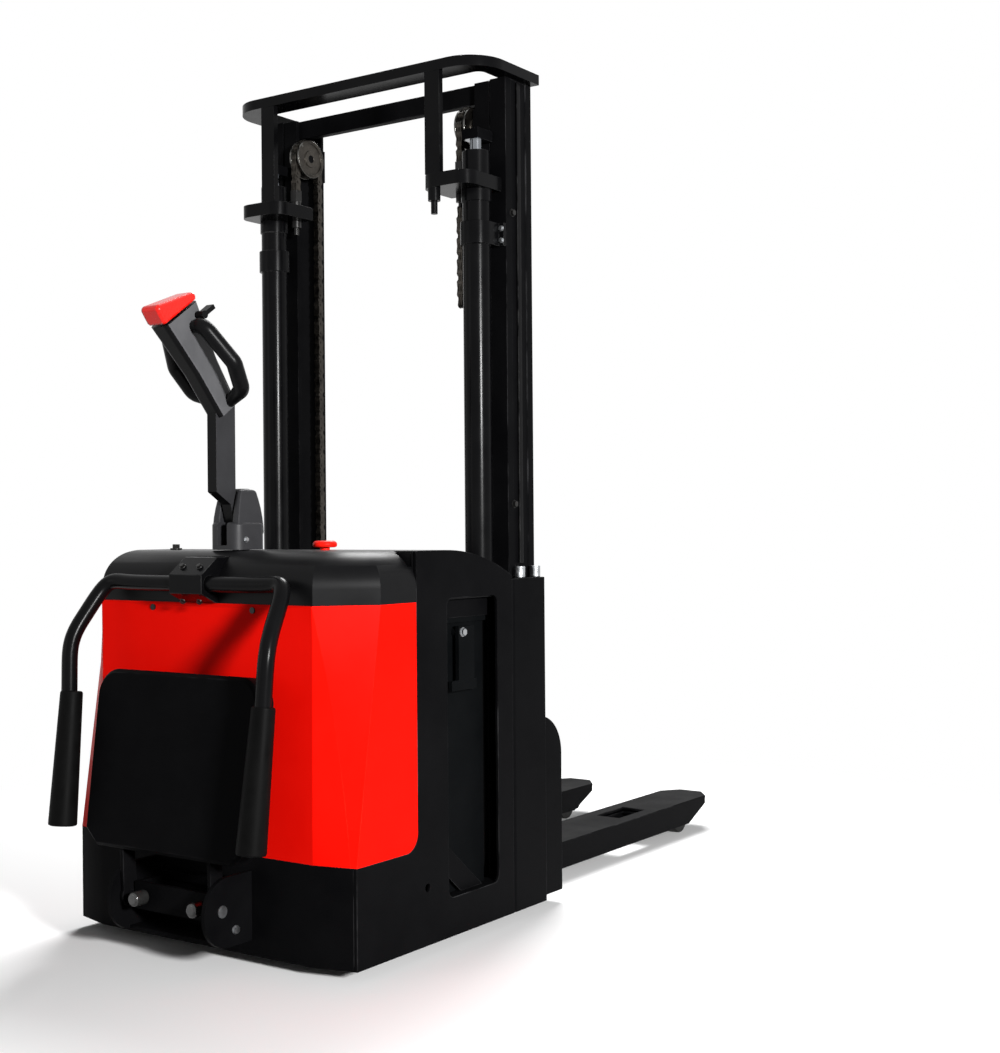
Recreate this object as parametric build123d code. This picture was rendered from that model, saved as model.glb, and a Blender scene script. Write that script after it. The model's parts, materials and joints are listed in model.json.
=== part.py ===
"""Pallet stacker with a fold-down platform: every piece as its own STEP file.

Millimetres. X to the right seen from behind, Y forward, Z up from the floor.
The model is drawn with Y = 0 on the rear face of the body, and each piece is
moved by REAR_FACE_Y when it is saved, so the finished part stands centred.
"""
import math
import os

from build123d import *

# Overall frame and fits
REAR_FACE_Y = -880.0
RUN_FIT = 0.05
SHOW_GAP = 1.0
PIN_HEAD = 3.0

# Body: side sheets, skirt and inner frame
BODY_WIDTH = 850.0
SIDE_SHEET = 8.0
FLOOR_GAP = 25.0
SKIRT_TOP = 240.0
SIDE_STEP_Y = 232.0
SIDE_STEP_FILLET = 40.0
SIDE_TOP = 894.0
SIDE_CREST_Y = 340.0
SIDE_ARC = 570.0
SIDE_LENGTH = 604.0
WINDOW_Y = 344.0
WINDOW_LENGTH = 197.0
WINDOW_Z = 113.0
WINDOW_HEIGHT = 672.0
WINDOW_CORNER = 18.0
TIE_HOLE_R = 9.0
TIE_HOLE_Y = 265.5
TIE_HOLE_Z = 152.6
FRAME_SHEET = 8.0
RECESS_WIDTH = 256.0
RECESS_Z = 92.0
RECESS_HEIGHT = 112.0
RECESS_SLATS = 4
SLAT_SHARE = 0.62
DRIVE_PLATE = 12.0
BULKHEAD_Y = 300.0
BULKHEAD_TOP = 778.0
BRACE_GAP = 2.0
BRACE_SHEET = 6.0
BRACE_RISE = 164.0
BRACE_REACH = 197.0
BRACE_STRIP = 70.0
TRAY_Z = 100.0
TRAY_SHEET = 12.0
BEAM_Y = 562.0
BEAM_LENGTH = 203.0
BEAM_Z = 30.0
BEAM_HEIGHT = 55.0
BRIDGE_HEIGHT = 30.0
BRIDGE_INSET = 30.0
POST_WIDTH = 40.0
POST_LENGTH = 143.0
POST_HEIGHT = 796.0
POST_EDGE = 12.0
POST_BUSH_R = 13.0
POST_BUSH = 28.0
POST_BUSH_BACK = 63.0
GUSSET = 103.0
GUSSET_SHEET = 10.0
GUSSET_TOP = 476.0
GUSSET_ARC = 100.0

# Covers
COVER_SHEET = 4.0
COVER_TOP = 782.0
COVER_FOOT_CORNER = 14.0
COVER_TOP_CORNER_X = 100.0
COVER_TOP_CORNER_Y = 103.0
COVER_LEAN = 6.0
COVER_SCREW_X = 154.0
COVER_SCREW_DROP = 13.0
COVER_SCREW_R = 7.0
DECK_RISE = 2.0
DECK_SHOULDER = 80.0
DECK_FRONT_Y = 566.0
DECK_COLUMN_HOLE_R = 45.0

# Legs and load rollers
LEG_LENGTH = 995.0
LEG_WALL = 8.0
LEG_TOP_SHEET = 6.0
LEG_BOTTOM = 27.0
LEG_SIDE_GAP = 20.0
LOAD_ROLLER_R = 40.0
LOAD_ROLLER_WIDTH = 95.0
LOAD_AXLE_R = 10.0
LOAD_AXLE_BACK = 75.0
LOAD_NOSE = 40.0

# Forks and carriage
FORK_INSIDE = 125.0
FORK_WIDTH = 160.0
FORK_TOP = 101.0
FORK_SHEET = 8.0
FORK_BOTTOM = 30.0
FORK_LENGTH = 1130.0
FORK_NOSE_X = 42.0
FORK_NOSE_Y = 55.0
FORK_WALL_SETBACK = 55.0
FORK_OVER_LEG = 5.0
FORK_HEEL = 15.0
FORK_WINDOW_WIDTH = 75.0
FORK_WINDOW_LENGTH = 155.0
FORK_WINDOW_BACK = 440.0
CARRIAGE_BOTTOM = 105.0
CARRIAGE_TOP = 455.0
CARRIAGE_SHEET = 20.0
CARRIAGE_BACK = 16.0
CARRIAGE_BAR = 25.0
CARRIAGE_BAR_Y = 775.0
LOW_BAR_HEIGHT = 60.0
HIGH_BAR_HEIGHT = 55.0
CHAIN_LUG_HEIGHT = 20.0
CARRIAGE_ROLLER_INSET = 60.0

# Mast
MAST_Y = 706.0
MAST_TOP = 2035.0
OUTER_DEPTH = 112.0
OUTER_CHANNEL = 46.0
OUTER_WEB = 12.0
OUTER_FLANGE = 12.0
OUTER_GROOVE = 2.5
INNER_DEPTH = 108.0
INNER_BEAM = 44.0
INNER_WEB = 10.0
INNER_FLANGE = 11.0
INNER_SIDE_GAP = 3.0
INNER_FOOT_GAP = 5.0
INNER_RISE = -2.0
CARRIAGE_SIDE_GAP = 4.0
ROLLER_PLAY = 0.5
ROLLER_SIDE = 2.0
ROLLER_PIN_R = 14.0
TOP_ROLLER_DROP = 75.0
FOOT_ROLLER_RISE = 85.0
OUTER_TIE_Z = 600.0
OUTER_TIE_HEIGHT = 100.0
OUTER_TIE_SHEET = 10.0
TOP_TIE_HEIGHT = 48.0
TOP_TIE_SHEET = 23.0
TOP_TIE_Y = 664.0
FOOT_TIE_HEIGHT = 70.0
FOOT_TIE_SHEET = 12.0
HOOP_SHEET = 25.0
HOOP_INSET = 17.0
HOOP_REAR_Y = 511.0
HOOP_FRONT_Y = 765.0
HOOP_CORNER = 95.0
HOOP_SIDE = 46.0
HOOP_BAR = 68.0
HOOP_INNER_CORNER = 20.0
EAR_DROP = 278.0
EAR_SHEET = 33.0
EAR_INWARD = 102.0
EAR_OUTWARD = 42.0
EAR_REAR_Y = 508.0
EAR_CORNER = 40.0
HOOP_POST_INWARD = 64.0
HOOP_POST_WIDTH = 44.0
HOOP_POST_SHEET = 15.0
STOP_STUD_R = 8.0
STOP_STUD = 63.0
STOP_NUT_R = 15.0
STOP_NUT = 32.0

# Lift cylinders and chains
CYLINDER_R = 34.0
CYLINDER_BORE_R = 25.0
CYLINDER_INSET = 55.0
CYLINDER_BACK = 102.0
CYLINDER_DROP = 185.0
CYLINDER_FLOOR = 25.0
CYLINDER_COLLAR_R = 37.0
CYLINDER_COLLAR = 30.0
GLAND = 30.0
ROD_R = 15.0
ROD_SHOW = 30.0
PISTON = 30.0
PISTON_FIT = 0.1
STRAP_DROP = 226.0
STRAP_HEIGHT = 55.0
STRAP_SHEET = 6.0
ROD_BRACKET = 25.0
ROD_BRACKET_IN = 30.0
ROD_BRACKET_OUT = 18.0
CHAIN_R = 43.0
CHAIN_PITCH = 25.4
CHAIN_WIDTH = 20.0
CHAIN_DEPTH = 22.0
CHAIN_CORE = 11.0
CHAIN_POINT = 9.2
SHEAVE_DROP = 107.0
SHEAVE_BACK = 39.0
SHEAVE_WIDTH = 32.0
SHEAVE_FLANGE = 5.0
SHEAVE_FLANGE_R = 50.0
SHEAVE_RIM = 9.0
SHEAVE_HUB_R = 22.0
SHEAVE_DISH = 3.0
SHEAVE_PAD = 5.0
SHEAVE_PAD_HEIGHT = 85.0
SHEAVE_PIN_R = 10.0
ANCHOR_R = 7.0
ANCHOR_NUT_R = 13.0
ANCHOR_NUT = 18.0
ANCHOR_TAIL = 37.0
ANCHOR_HEAD = 30.0

# Battery, hydraulics and controller
BATTERY_SIDE_GAP = 24.0
BATTERY_Y = 348.0
BATTERY_LENGTH = 190.0
BATTERY_HEIGHT = 640.0
BATTERY_LID = 26.0
BATTERY_LID_LIP = 6.0
CELL_COUNT = 12
CELL_GAP = 5.0
CELL_HEIGHT = 12.0
CELL_CAP_R = 13.0
CELL_CAP = 10.0
TANK_SIDE_GAP = 26.0
TANK_WIDTH = 310.0
TANK_BACK = 2.0
TANK_LENGTH = 71.0
TANK_HEIGHT = 435.0
PUMP_SIDE_GAP = 80.0
PUMP_R = 35.0
PUMP_HEIGHT = 230.0
CONTROLLER_INSET = 277.0
CONTROLLER_WIDTH = 200.0
CONTROLLER_DEPTH = 60.0
CONTROLLER_Z = 480.0
CONTROLLER_HEIGHT = 240.0
LATCH_Y = 422.0
LATCH_DROP = 47.0
LATCH_SHEET = 10.0
LATCH_GAP = 7.0
LATCH_PIN_R = 6.0
LATCH_BOSS_R = 13.0
LATCH_RISE = 13.0
LATCH_LENGTH = 133.0
LATCH_BACK = 14.0
LATCH_FRONT = 46.0
LATCH_FOOT = 23.0
LATCH_FOOT_BACK = 41.0
LATCH_FOOT_FRONT = 55.0

# Drive unit and casters
STEER_Y = 130.0
DRIVE_WHEEL_R = 110.0
DRIVE_WHEEL_WIDTH = 70.0
DRIVE_HUB_R = 68.0
DRIVE_AXLE_R = 15.0
DRIVE_NECK_R = 90.0
DRIVE_FLANGE_R = 97.0
DRIVE_FLANGE = 24.0
DRIVE_LIFT = 0.2
DRIVE_LEG_GAP = 7.0
DRIVE_LEG_WIDTH = 53.0
DRIVE_LEG_LENGTH = 100.0
DRIVE_LEG_CORNER = 42.0
DRIVE_LEG_FOOT = 45.0
WHEEL_TOP_GAP = 4.0
MOTOR_R = 75.0
MOTOR_HEIGHT = 298.0
COLUMN_R = 20.0
CASTER_INSET = 115.0
CASTER_Y = 150.0
CASTER_WHEEL_R = 62.5
CASTER_WHEEL_WIDTH = 40.0
CASTER_TRAIL = 40.0
CASTER_AXLE_R = 8.0
CASTER_CHEEK = 8.0
CASTER_CHEEK_GAP = 2.0
CASTER_PLATE = 12.0
CASTER_PLATE_R = 42.0
CASTER_CHEEK_REACH = 29.0
CASTER_STEM_R = 12.0

# Tiller
TILLER_BASE_LIFT = 2.0
TILLER_BASE_FLOOR = 10.0
TILLER_BASE_HALF = 45.0
TILLER_BASE_REAR_Y = 70.0
TILLER_BASE_FRONT_Y = 169.0
TILLER_BASE_HEIGHT = 62.0
TILLER_BASE_CORNER = 24.0
TILLER_BASE_EDGE = 8.0
HOOD_TOP = 1036.0
HOOD_Y = 106.0
HOOD_FOOT_HALF = 40.0
HOOD_FOOT_LENGTH = 58.0
HOOD_TOP_HALF = 29.0
HOOD_TOP_LENGTH = 32.0
HOOD_CORNER = 12.0
TILLER_PIVOT_Y = 118.0
TILLER_PIVOT_RISE = 37.0
TILLER_PIVOT_BOSS_R = 20.0
TILLER_PIN_R = 9.0
ARM_THICKNESS = 28.0
ARM_SIDE_GAP = 0.5
ARM_TOP = 1226.0
ARM_BACK = 78.0
ARM_FRONT = 18.0
ARM_KNEE_RISE = 93.0
ARM_WAIST_BACK = 34.0
ARM_WAIST_RISE = 65.0
HEAD_Y = 62.0
HEAD_Z = 1230.0
HEAD_LEAN = 36.0
HEAD_LENGTH = 226.0
HEAD_TAIL = 22.0
HEAD_FOOT_HALF = 24.0
HEAD_FOOT_DEPTH = 64.0
HEAD_TOP_HALF = 27.0
HEAD_TOP_DEPTH = 114.0
HEAD_EDGE = 12.0
GRIP_R = 13.0
GRIP_W = 12.0
GRIP_REACH = 91.0
GRIP_WAIST = 88.0
GRIP_TOP = 186.0
GRIP_TOP_REACH = 56.0
GRIP_FOOT = 22.0
GRIP_FOOT_REACH = 76.0
GRIP_HEEL = -8.0
GRIP_BEND = 24.0
BELLY_HEIGHT = 48.0
BELLY_NOSE = 18.0
BELLY_OVER = 2.0
BELLY_EDGE = 10.0
BELLY_TRAVEL = 3.0
BELLY_STOP = 0.3
BELLY_STEM_R = 12.0
BELLY_STEM = 30.0
THROTTLE_S = 200.0
THROTTLE_W = 36.0
THROTTLE_SHAFT_R = 6.0
THROTTLE_WING = 22.0
THROTTLE_REACH = 36.0
THROTTLE_SHEET = 10.0
HORN_S = 120.0
HORN_R = 9.0
HORN_RISE = 5.0
HORN_STEM = 14.0
ROCKER_S = 156.0
ROCKER_HALF = 18.0
ROCKER_LENGTH = 26.0
ROCKER_PIN_R = 3.0

# Side arms, platform and switches
CLAMP_HALF = 50.0
CLAMP_REAR = 45.0
CLAMP_LENGTH = 72.0
CLAMP_TOP = 883.0
CLAMP_BOTTOM = 783.0
CLAMP_NOSE = 21.0
ARM_AXIS_Y = -19.0
ARM_AXIS_Z = 825.0
ARM_TUBE_R = 18.0
ARM_SOCKET = 20.0
ARM_SHOULDER_X = 262.0
ARM_ELBOW_X = 308.0
ARM_ELBOW_Y = -100.0
ARM_ELBOW_Z = 690.0
ARM_END_X = 296.0
ARM_END_Y = -146.0
ARM_END_Z = 283.0
ARM_BEND = 60.0
SLEEVE_LENGTH = 300.0
SLEEVE_TOP_R = 25.0
SLEEVE_END_R = 32.0
ARM_COLUMN_HALF = 30.0
ARM_COLUMN_Y = 11.0
ARM_COLUMN_DEPTH = 20.0
CARRIER_X = 150.0
CARRIER_SHEET = 10.0
CARRIER_REACH = 140.0
CARRIER_Z = 58.0
CARRIER_HEIGHT = 150.0
CARRIER_CORNER = 70.0
CARRIER_BAR_Y = -84.0
CARRIER_BAR = 12.0
CARRIER_BAR_HEIGHT = 60.0
CARRIER_WEB = 10.0
CARRIER_WEB_GAP = 4.0
BUFFER_X = 90.0
BUFFER_R = 16.5
BUFFER_LENGTH = 40.0
PLATFORM_PIVOT_Y = -90.0
PLATFORM_PIVOT_Z = 138.0
PLATFORM_PIN_R = 10.0
PLATFORM_HALF = 248.0
PLATFORM_Y = -138.0
PLATFORM_LEAN = 7.5
PLATFORM_THICK = 50.0
PLATFORM_Z = 240.0
PLATFORM_LENGTH = 392.0
PLATFORM_CORNER = 60.0
PLATFORM_CHAMFER_X = 40.0
PLATFORM_CHAMFER_Z = 34.0
PLATFORM_EDGE = 8.0
PLATFORM_ARM = 10.0
PLATFORM_ARM_GAP = 1.0
PLATFORM_BOSS_R = 24.0
PLATFORM_ARM_FOOT = 21.5
ESTOP_X = 200.0
ESTOP_Y = 190.0
ESTOP_STEM_R = 11.0
ESTOP_HEAD_R = 21.0
ESTOP_HEAD = 15.0
ESTOP_EDGE = 8.0
ESTOP_TRAVEL = 5.0
ESTOP_STOP = 1.0
SWITCH_TAIL = 30.0
KEY_X = -232.0
KEY_Y = 150.0
KEY_BARREL_R = 10.0
KEY_COLLAR_R = 14.0
KEY_COLLAR = 4.0
KEY_BLADE = 9.0
KEY_BLADE_HALF = 11.0
KEY_BLADE_SHEET = 3.0

# Places worked out from the sizes above
half = BODY_WIDTH / 2
body_in = half - SIDE_SHEET
mast_half = half - POST_WIDTH
beam_top = BEAM_Z + BEAM_HEIGHT
beam_front = BEAM_Y + BEAM_LENGTH
post_front = SIDE_LENGTH + POST_LENGTH
leg_start = post_front + GUSSET
plate_top = SKIRT_TOP - SHOW_GAP - SHOW_GAP
plate_bottom = plate_top - DRIVE_PLATE
tray_top = TRAY_Z + TRAY_SHEET
deck_top = SIDE_TOP + DECK_RISE
outer_in = mast_half - OUTER_CHANNEL
outer_web_in = mast_half - OUTER_WEB
outer_rear = MAST_Y - OUTER_DEPTH / 2
outer_front = MAST_Y + OUTER_DEPTH / 2
inner_out = outer_in - INNER_SIDE_GAP
inner_in = inner_out - INNER_BEAM
web_out = (inner_out + inner_in + INNER_WEB) / 2
web_in = web_out - INNER_WEB
inner_rear = MAST_Y - INNER_DEPTH / 2
inner_front = MAST_Y + INNER_DEPTH / 2
inner_foot = beam_top + INNER_FOOT_GAP
inner_roller_r = INNER_DEPTH / 2 - INNER_FLANGE - ROLLER_PLAY
outer_roller_r = OUTER_DEPTH / 2 - OUTER_FLANGE - ROLLER_PLAY
carriage_out = inner_in - CARRIAGE_SIDE_GAP
carriage_in = carriage_out - CARRIAGE_SHEET
sheave_out = inner_in - SHEAVE_PAD - SHOW_GAP
chain_x = sheave_out - SHEAVE_WIDTH / 2
sheave_y = MAST_Y - SHEAVE_BACK
chain_rear_y = sheave_y - CHAIN_R
chain_front_y = sheave_y + CHAIN_R
cylinder_x = mast_half - CYLINDER_INSET
cylinder_y = MAST_Y - CYLINDER_BACK
cylinder_top = MAST_TOP - CYLINDER_DROP
rod_top = cylinder_top + ROD_SHOW
strap_z = cylinder_top - STRAP_DROP
inner_top = MAST_TOP + INNER_RISE
sheave_z = MAST_TOP - SHEAVE_DROP
ear_z = MAST_TOP - EAR_DROP
ear_top = ear_z + EAR_SHEET
ear_in = cylinder_x - EAR_INWARD
ear_out = cylinder_x + EAR_OUTWARD
hoop_post_x = cylinder_x - HOOP_POST_INWARD
hoop_half = half - HOOP_INSET
tank_x = TANK_SIDE_GAP + CYLINDER_R - cylinder_x
pump_x = tank_x + TANK_WIDTH + PUMP_SIDE_GAP
caster_x = half - CASTER_INSET
controller_x = body_in - CONTROLLER_INSET
belly_gap = BELLY_TRAVEL + BELLY_STOP
estop_gap = ESTOP_TRAVEL + ESTOP_STOP
fork_outside = FORK_INSIDE + FORK_WIDTH
heel_y = CARRIAGE_BAR_Y + CARRIAGE_BAR
fork_tip = heel_y + FORK_LENGTH
leg_inside = FORK_INSIDE + LEG_SIDE_GAP
leg_outside = fork_outside - LEG_SIDE_GAP
leg_top = FORK_TOP - FORK_SHEET - FORK_OVER_LEG
leg_end = leg_start + LEG_LENGTH
fork_mid = FORK_INSIDE + FORK_WIDTH / 2
load_axle_y = leg_end - LOAD_AXLE_BACK


# Small helpers for shapes that lie along the axes
def box(x0, x1, y0, y1, z0, z1):
    middle = Pos((x0 + x1) / 2, (y0 + y1) / 2, (z0 + z1) / 2)
    return middle * Box(x1 - x0, y1 - y0, z1 - z0)


def rod_x(x0, x1, y, z, r):
    return Pos((x0 + x1) / 2, y, z) * Rot(0, 90, 0) * Cylinder(r, x1 - x0)


def rod_y(x, y0, y1, z, r):
    return Pos(x, (y0 + y1) / 2, z) * Rot(90, 0, 0) * Cylinder(r, y1 - y0)


def rod_z(x, y, z0, z1, r):
    return Pos(x, y, (z0 + z1) / 2) * Cylinder(r, z1 - z0)


def outline(points):
    return make_face(Polyline(*points, close=True))


def plate_x(face, x0, x1):
    """A face drawn in (Y, Z), as a plate from x0 to x1."""
    return Pos(x0, 0, 0) * extrude(Plane.YZ * face, amount=x1 - x0)


def plate_y(face, y0, y1):
    """A face drawn in (X, Z), as a plate from y0 to y1."""
    across = Plane(origin=(0, y1, 0), x_dir=(1, 0, 0), z_dir=(0, -1, 0))
    return extrude(across * face, amount=y1 - y0)


def plate_z(face, z0, z1):
    """A face drawn in (X, Y), as a plate from z0 to z1."""
    return Pos(0, 0, z0) * extrude(face, amount=z1 - z0)


def left(shape):
    return mirror(shape, about=Plane.YZ)


def both(shape):
    return [shape, left(shape)]


def save(name, *shapes):
    solids = [solid for shape in shapes for solid in shape.solids()]
    piece = solids[0] if len(solids) == 1 else Compound(solids)
    piece.label = name
    export_step(piece.moved(Location((0, REAR_FACE_Y, 0))), f"parts/{name}.step")


os.makedirs("parts", exist_ok=True)


# Side sheets with the battery window and the step that the red cover fills
def crest_z(y, top):
    """Height of the side sheet's top edge at y, flat and then on its arc."""
    if y <= SIDE_CREST_Y:
        return top
    return top - SIDE_ARC + math.sqrt(SIDE_ARC ** 2 - (y - SIDE_CREST_Y) ** 2)


def crest_edges(rear_y, front_y, top, bottom):
    """Closed outline under the crest, from rear_y to front_y."""
    middle_y = (SIDE_CREST_Y + front_y) / 2
    flat = Line((rear_y, top), (SIDE_CREST_Y, top))
    crest = (SIDE_CREST_Y, top)
    fall = (middle_y, crest_z(middle_y, top))
    front = (front_y, crest_z(front_y, top))
    arc = ThreePointArc(crest, fall, front)
    rest = Polyline(front, (front_y, bottom), (rear_y, bottom), (rear_y, top))
    return make_face([*flat.edges(), *arc.edges(), *rest.edges()])


low_side = Pos(SIDE_LENGTH / 2, (FLOOR_GAP + SKIRT_TOP) / 2) * Rectangle(SIDE_LENGTH, SKIRT_TOP - FLOOR_GAP)
high_side = crest_edges(SIDE_STEP_Y, SIDE_LENGTH, SIDE_TOP, SKIRT_TOP)
step_square = Pos(SIDE_STEP_Y - SIDE_STEP_FILLET / 2, SKIRT_TOP + SIDE_STEP_FILLET / 2)
step_square = step_square * Rectangle(SIDE_STEP_FILLET, SIDE_STEP_FILLET)
step_round = Pos(SIDE_STEP_Y - SIDE_STEP_FILLET, SKIRT_TOP + SIDE_STEP_FILLET) * Circle(SIDE_STEP_FILLET)
window = Pos(WINDOW_Y + WINDOW_LENGTH / 2, WINDOW_Z + WINDOW_HEIGHT / 2)
window = window * RectangleRounded(WINDOW_LENGTH, WINDOW_HEIGHT, WINDOW_CORNER)
tie_hole = Pos(TIE_HOLE_Y, TIE_HOLE_Z) * Circle(TIE_HOLE_R)
side_face = low_side + high_side + (step_square - step_round) - window - tie_hole
side_plate = plate_x(side_face, body_in, half)
save("side_plate_right", side_plate)
save("side_plate_left", left(side_plate))

# Welded inner frame: rear skirt, drive plate, bulkhead, battery tray, mast beam and leg bridge
skirt = box(-body_in, body_in, 0, FRAME_SHEET, FLOOR_GAP, SKIRT_TOP)
recess_half = RECESS_WIDTH / 2
slat_pitch = RECESS_HEIGHT / RECESS_SLATS
for count in range(RECESS_SLATS):
    slot_z = RECESS_Z + count * slat_pitch
    slot_height = slat_pitch * (1 - SLAT_SHARE)
    skirt -= box(-recess_half, recess_half, -1, FRAME_SHEET + 1, slot_z, slot_z + slot_height)
drive_plate = box(-body_in, body_in, FRAME_SHEET, BULKHEAD_Y, plate_bottom, plate_top)
drive_plate -= rod_z(0, STEER_Y, plate_bottom - 1, plate_top + 1, DRIVE_NECK_R + RUN_FIT)
for stem in both(rod_z(caster_x, CASTER_Y, plate_bottom - 1, plate_top + 1, CASTER_STEM_R + RUN_FIT)):
    drive_plate -= stem
bulkhead_front = BULKHEAD_Y + FRAME_SHEET
bulkhead = box(-body_in, body_in, BULKHEAD_Y, bulkhead_front, TRAY_Z, BULKHEAD_TOP)
tray = box(-body_in, body_in, bulkhead_front, BEAM_Y, TRAY_Z, tray_top)
beam = box(-mast_half, mast_half, BEAM_Y, beam_front, BEAM_Z, beam_top)
tray_step = box(-mast_half, mast_half, BEAM_Y - TRAY_SHEET, BEAM_Y, beam_top - TRAY_SHEET, TRAY_Z)
bridge_half = half - BRIDGE_INSET
bridge = box(-bridge_half, bridge_half, beam_front, leg_start, BEAM_Z, BEAM_Z + BRIDGE_HEIGHT)
brace_x = body_in - BATTERY_SIDE_GAP + BRACE_GAP
brace_run = BRACE_REACH * (1 - BRACE_STRIP / BRACE_RISE)
brace_shape = outline([(bulkhead_front, tray_top + BRACE_RISE), (bulkhead_front + BRACE_REACH, tray_top),
                       (bulkhead_front + brace_run, tray_top),
                       (bulkhead_front, tray_top + BRACE_RISE - BRACE_STRIP)])
brace = plate_x(brace_shape, brace_x, brace_x + BRACE_SHEET)
save("base_frame", skirt + drive_plate + bulkhead + tray + tray_step + beam + bridge, *both(brace))

# Mast posts beside the uprights, with a curved gusset down to the leg bridge
post = box(mast_half, half, SIDE_LENGTH, post_front, FLOOR_GAP, FLOOR_GAP + POST_HEIGHT)
post_top = FLOOR_GAP + POST_HEIGHT
rear_corner = post.edges().filter_by(Axis.Z).sort_by(lambda edge: edge.center().X - edge.center().Y)[-1]
post = fillet(rear_corner, min(POST_EDGE, POST_WIDTH / 2 - SHOW_GAP))
bush_x = (mast_half + half) / 2
bushes = [rod_z(bush_x, y, post_top, post_top + POST_BUSH, POST_BUSH_R) for y in
          (SIDE_LENGTH + POST_BUSH_BACK, post_front - POST_BUSH_R)]
gusset_square = Pos(post_front + GUSSET / 2, (BEAM_Z + GUSSET_TOP) / 2)
gusset_square = gusset_square * Rectangle(GUSSET, GUSSET_TOP - BEAM_Z)
gusset_corner = gusset_square.vertices().sort_by(lambda v: v.X + v.Y)[-1]
gusset_face = fillet(gusset_corner, min(GUSSET_ARC, GUSSET - SHOW_GAP))
gusset_in = bridge_half
gusset = plate_x(gusset_face, gusset_in, gusset_in + GUSSET_SHEET)
post_right = [post + gusset, *bushes]
save("post_right", *post_right)
save("post_left", *[left(shape) for shape in post_right])

# Straddle legs under the forks, open below, with the load rollers at the toe
leg_mid = (leg_inside + leg_outside) / 2
leg = box(leg_inside, leg_outside, leg_start, leg_end, LEG_BOTTOM, leg_top)
leg -= box(leg_inside + LEG_WALL, leg_outside - LEG_WALL, leg_start - 1, leg_end + 1,
           LEG_BOTTOM - 1, leg_top - LEG_TOP_SHEET)
window_y0 = fork_tip - FORK_WINDOW_BACK - FORK_WINDOW_LENGTH / 2
window_y1 = window_y0 + FORK_WINDOW_LENGTH
window_x0 = leg_mid - FORK_WINDOW_WIDTH / 2
window_x1 = leg_mid + FORK_WINDOW_WIDTH / 2
leg -= box(window_x0, window_x1, window_y0, window_y1, leg_top - LEG_TOP_SHEET - 1, leg_top + 1)
nose = Pos(leg_end, LEG_BOTTOM) * Rot(0, 0, 45) * Rectangle(LOAD_NOSE, LOAD_NOSE)
leg -= plate_x(nose, leg_inside - 1, leg_outside + 1)
leg += rod_x(leg_inside, leg_outside, load_axle_y, LOAD_ROLLER_R, LOAD_AXLE_R)
save("leg_right", leg)
save("leg_left", left(leg))
roller_x0 = leg_mid - LOAD_ROLLER_WIDTH / 2
roller_x1 = leg_mid + LOAD_ROLLER_WIDTH / 2
load_roller = rod_x(roller_x0, roller_x1, load_axle_y, LOAD_ROLLER_R, LOAD_ROLLER_R)
load_roller -= rod_x(roller_x0 - 1, roller_x1 + 1, load_axle_y, LOAD_ROLLER_R, LOAD_AXLE_R + RUN_FIT)
save("load_roller_right", load_roller)
save("load_roller_left", left(load_roller))


# Red cover: straight skirt below, cut back at the corners towards the top
def cover_outline(corner_x, corner_y, rear_y, front_y):
    side = [(half, front_y), (half, rear_y + corner_y), (half - corner_x, rear_y)]
    return outline(side + [(-x, y) for x, y in reversed(side)])


def corner_outline(corner_x, corner_y, rear_y):
    """A triangle that holds all outside a cut-back corner of the cover."""
    return outline([(half - 2 * corner_x, rear_y - corner_y), (half + corner_x, rear_y - corner_y),
                    (half + corner_x, rear_y + 2 * corner_y)])


def cover_body(front_y, inset):
    side = outline([(inset, SKIRT_TOP), (COVER_LEAN + inset, COVER_TOP), (front_y, COVER_TOP),
                    (front_y, SKIRT_TOP)])
    foot = corner_outline(COVER_FOOT_CORNER, COVER_FOOT_CORNER, 0)
    head = corner_outline(COVER_TOP_CORNER_X, COVER_TOP_CORNER_Y, COVER_LEAN)
    wedge = loft([Pos(0, 0, SKIRT_TOP) * foot, Pos(0, 0, COVER_TOP) * head], ruled=True)
    slant = inset * math.sin(math.radians(45))
    body = plate_x(side, inset - half, half - inset)
    for corner in both(Pos(-slant, slant, 0) * wedge):
        body -= corner
    return body


cover_front = SIDE_STEP_Y - SHOW_GAP
cover = cover_body(cover_front, 0) - cover_body(cover_front + 2 * COVER_SHEET, COVER_SHEET)
cover_arc = SIDE_STEP_FILLET + SHOW_GAP
cover_corner = Pos(cover_front - cover_arc / 2, SKIRT_TOP + cover_arc / 2) * Rectangle(cover_arc, cover_arc)
cover_corner -= Pos(cover_front - cover_arc, SKIRT_TOP + cover_arc) * Circle(cover_arc)
cover -= plate_x(cover_corner, -half - 1, half + 1)
screw_z = COVER_TOP - COVER_SCREW_DROP
screw_y = COVER_LEAN * (screw_z - SKIRT_TOP) / (COVER_TOP - SKIRT_TOP)
shank_r = COVER_SCREW_R - PIN_HEAD
for hole in both(rod_y(COVER_SCREW_X, screw_y - PIN_HEAD, screw_y + 2 * COVER_SHEET, screw_z,
                       shank_r + RUN_FIT)):
    cover -= hole
screw = rod_y(COVER_SCREW_X, screw_y - PIN_HEAD, screw_y - RUN_FIT, screw_z, COVER_SCREW_R)
screw += rod_y(COVER_SCREW_X, screw_y - PIN_HEAD, screw_y + COVER_SHEET, screw_z, shank_r)
save("red_cover", cover, *both(screw))


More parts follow.
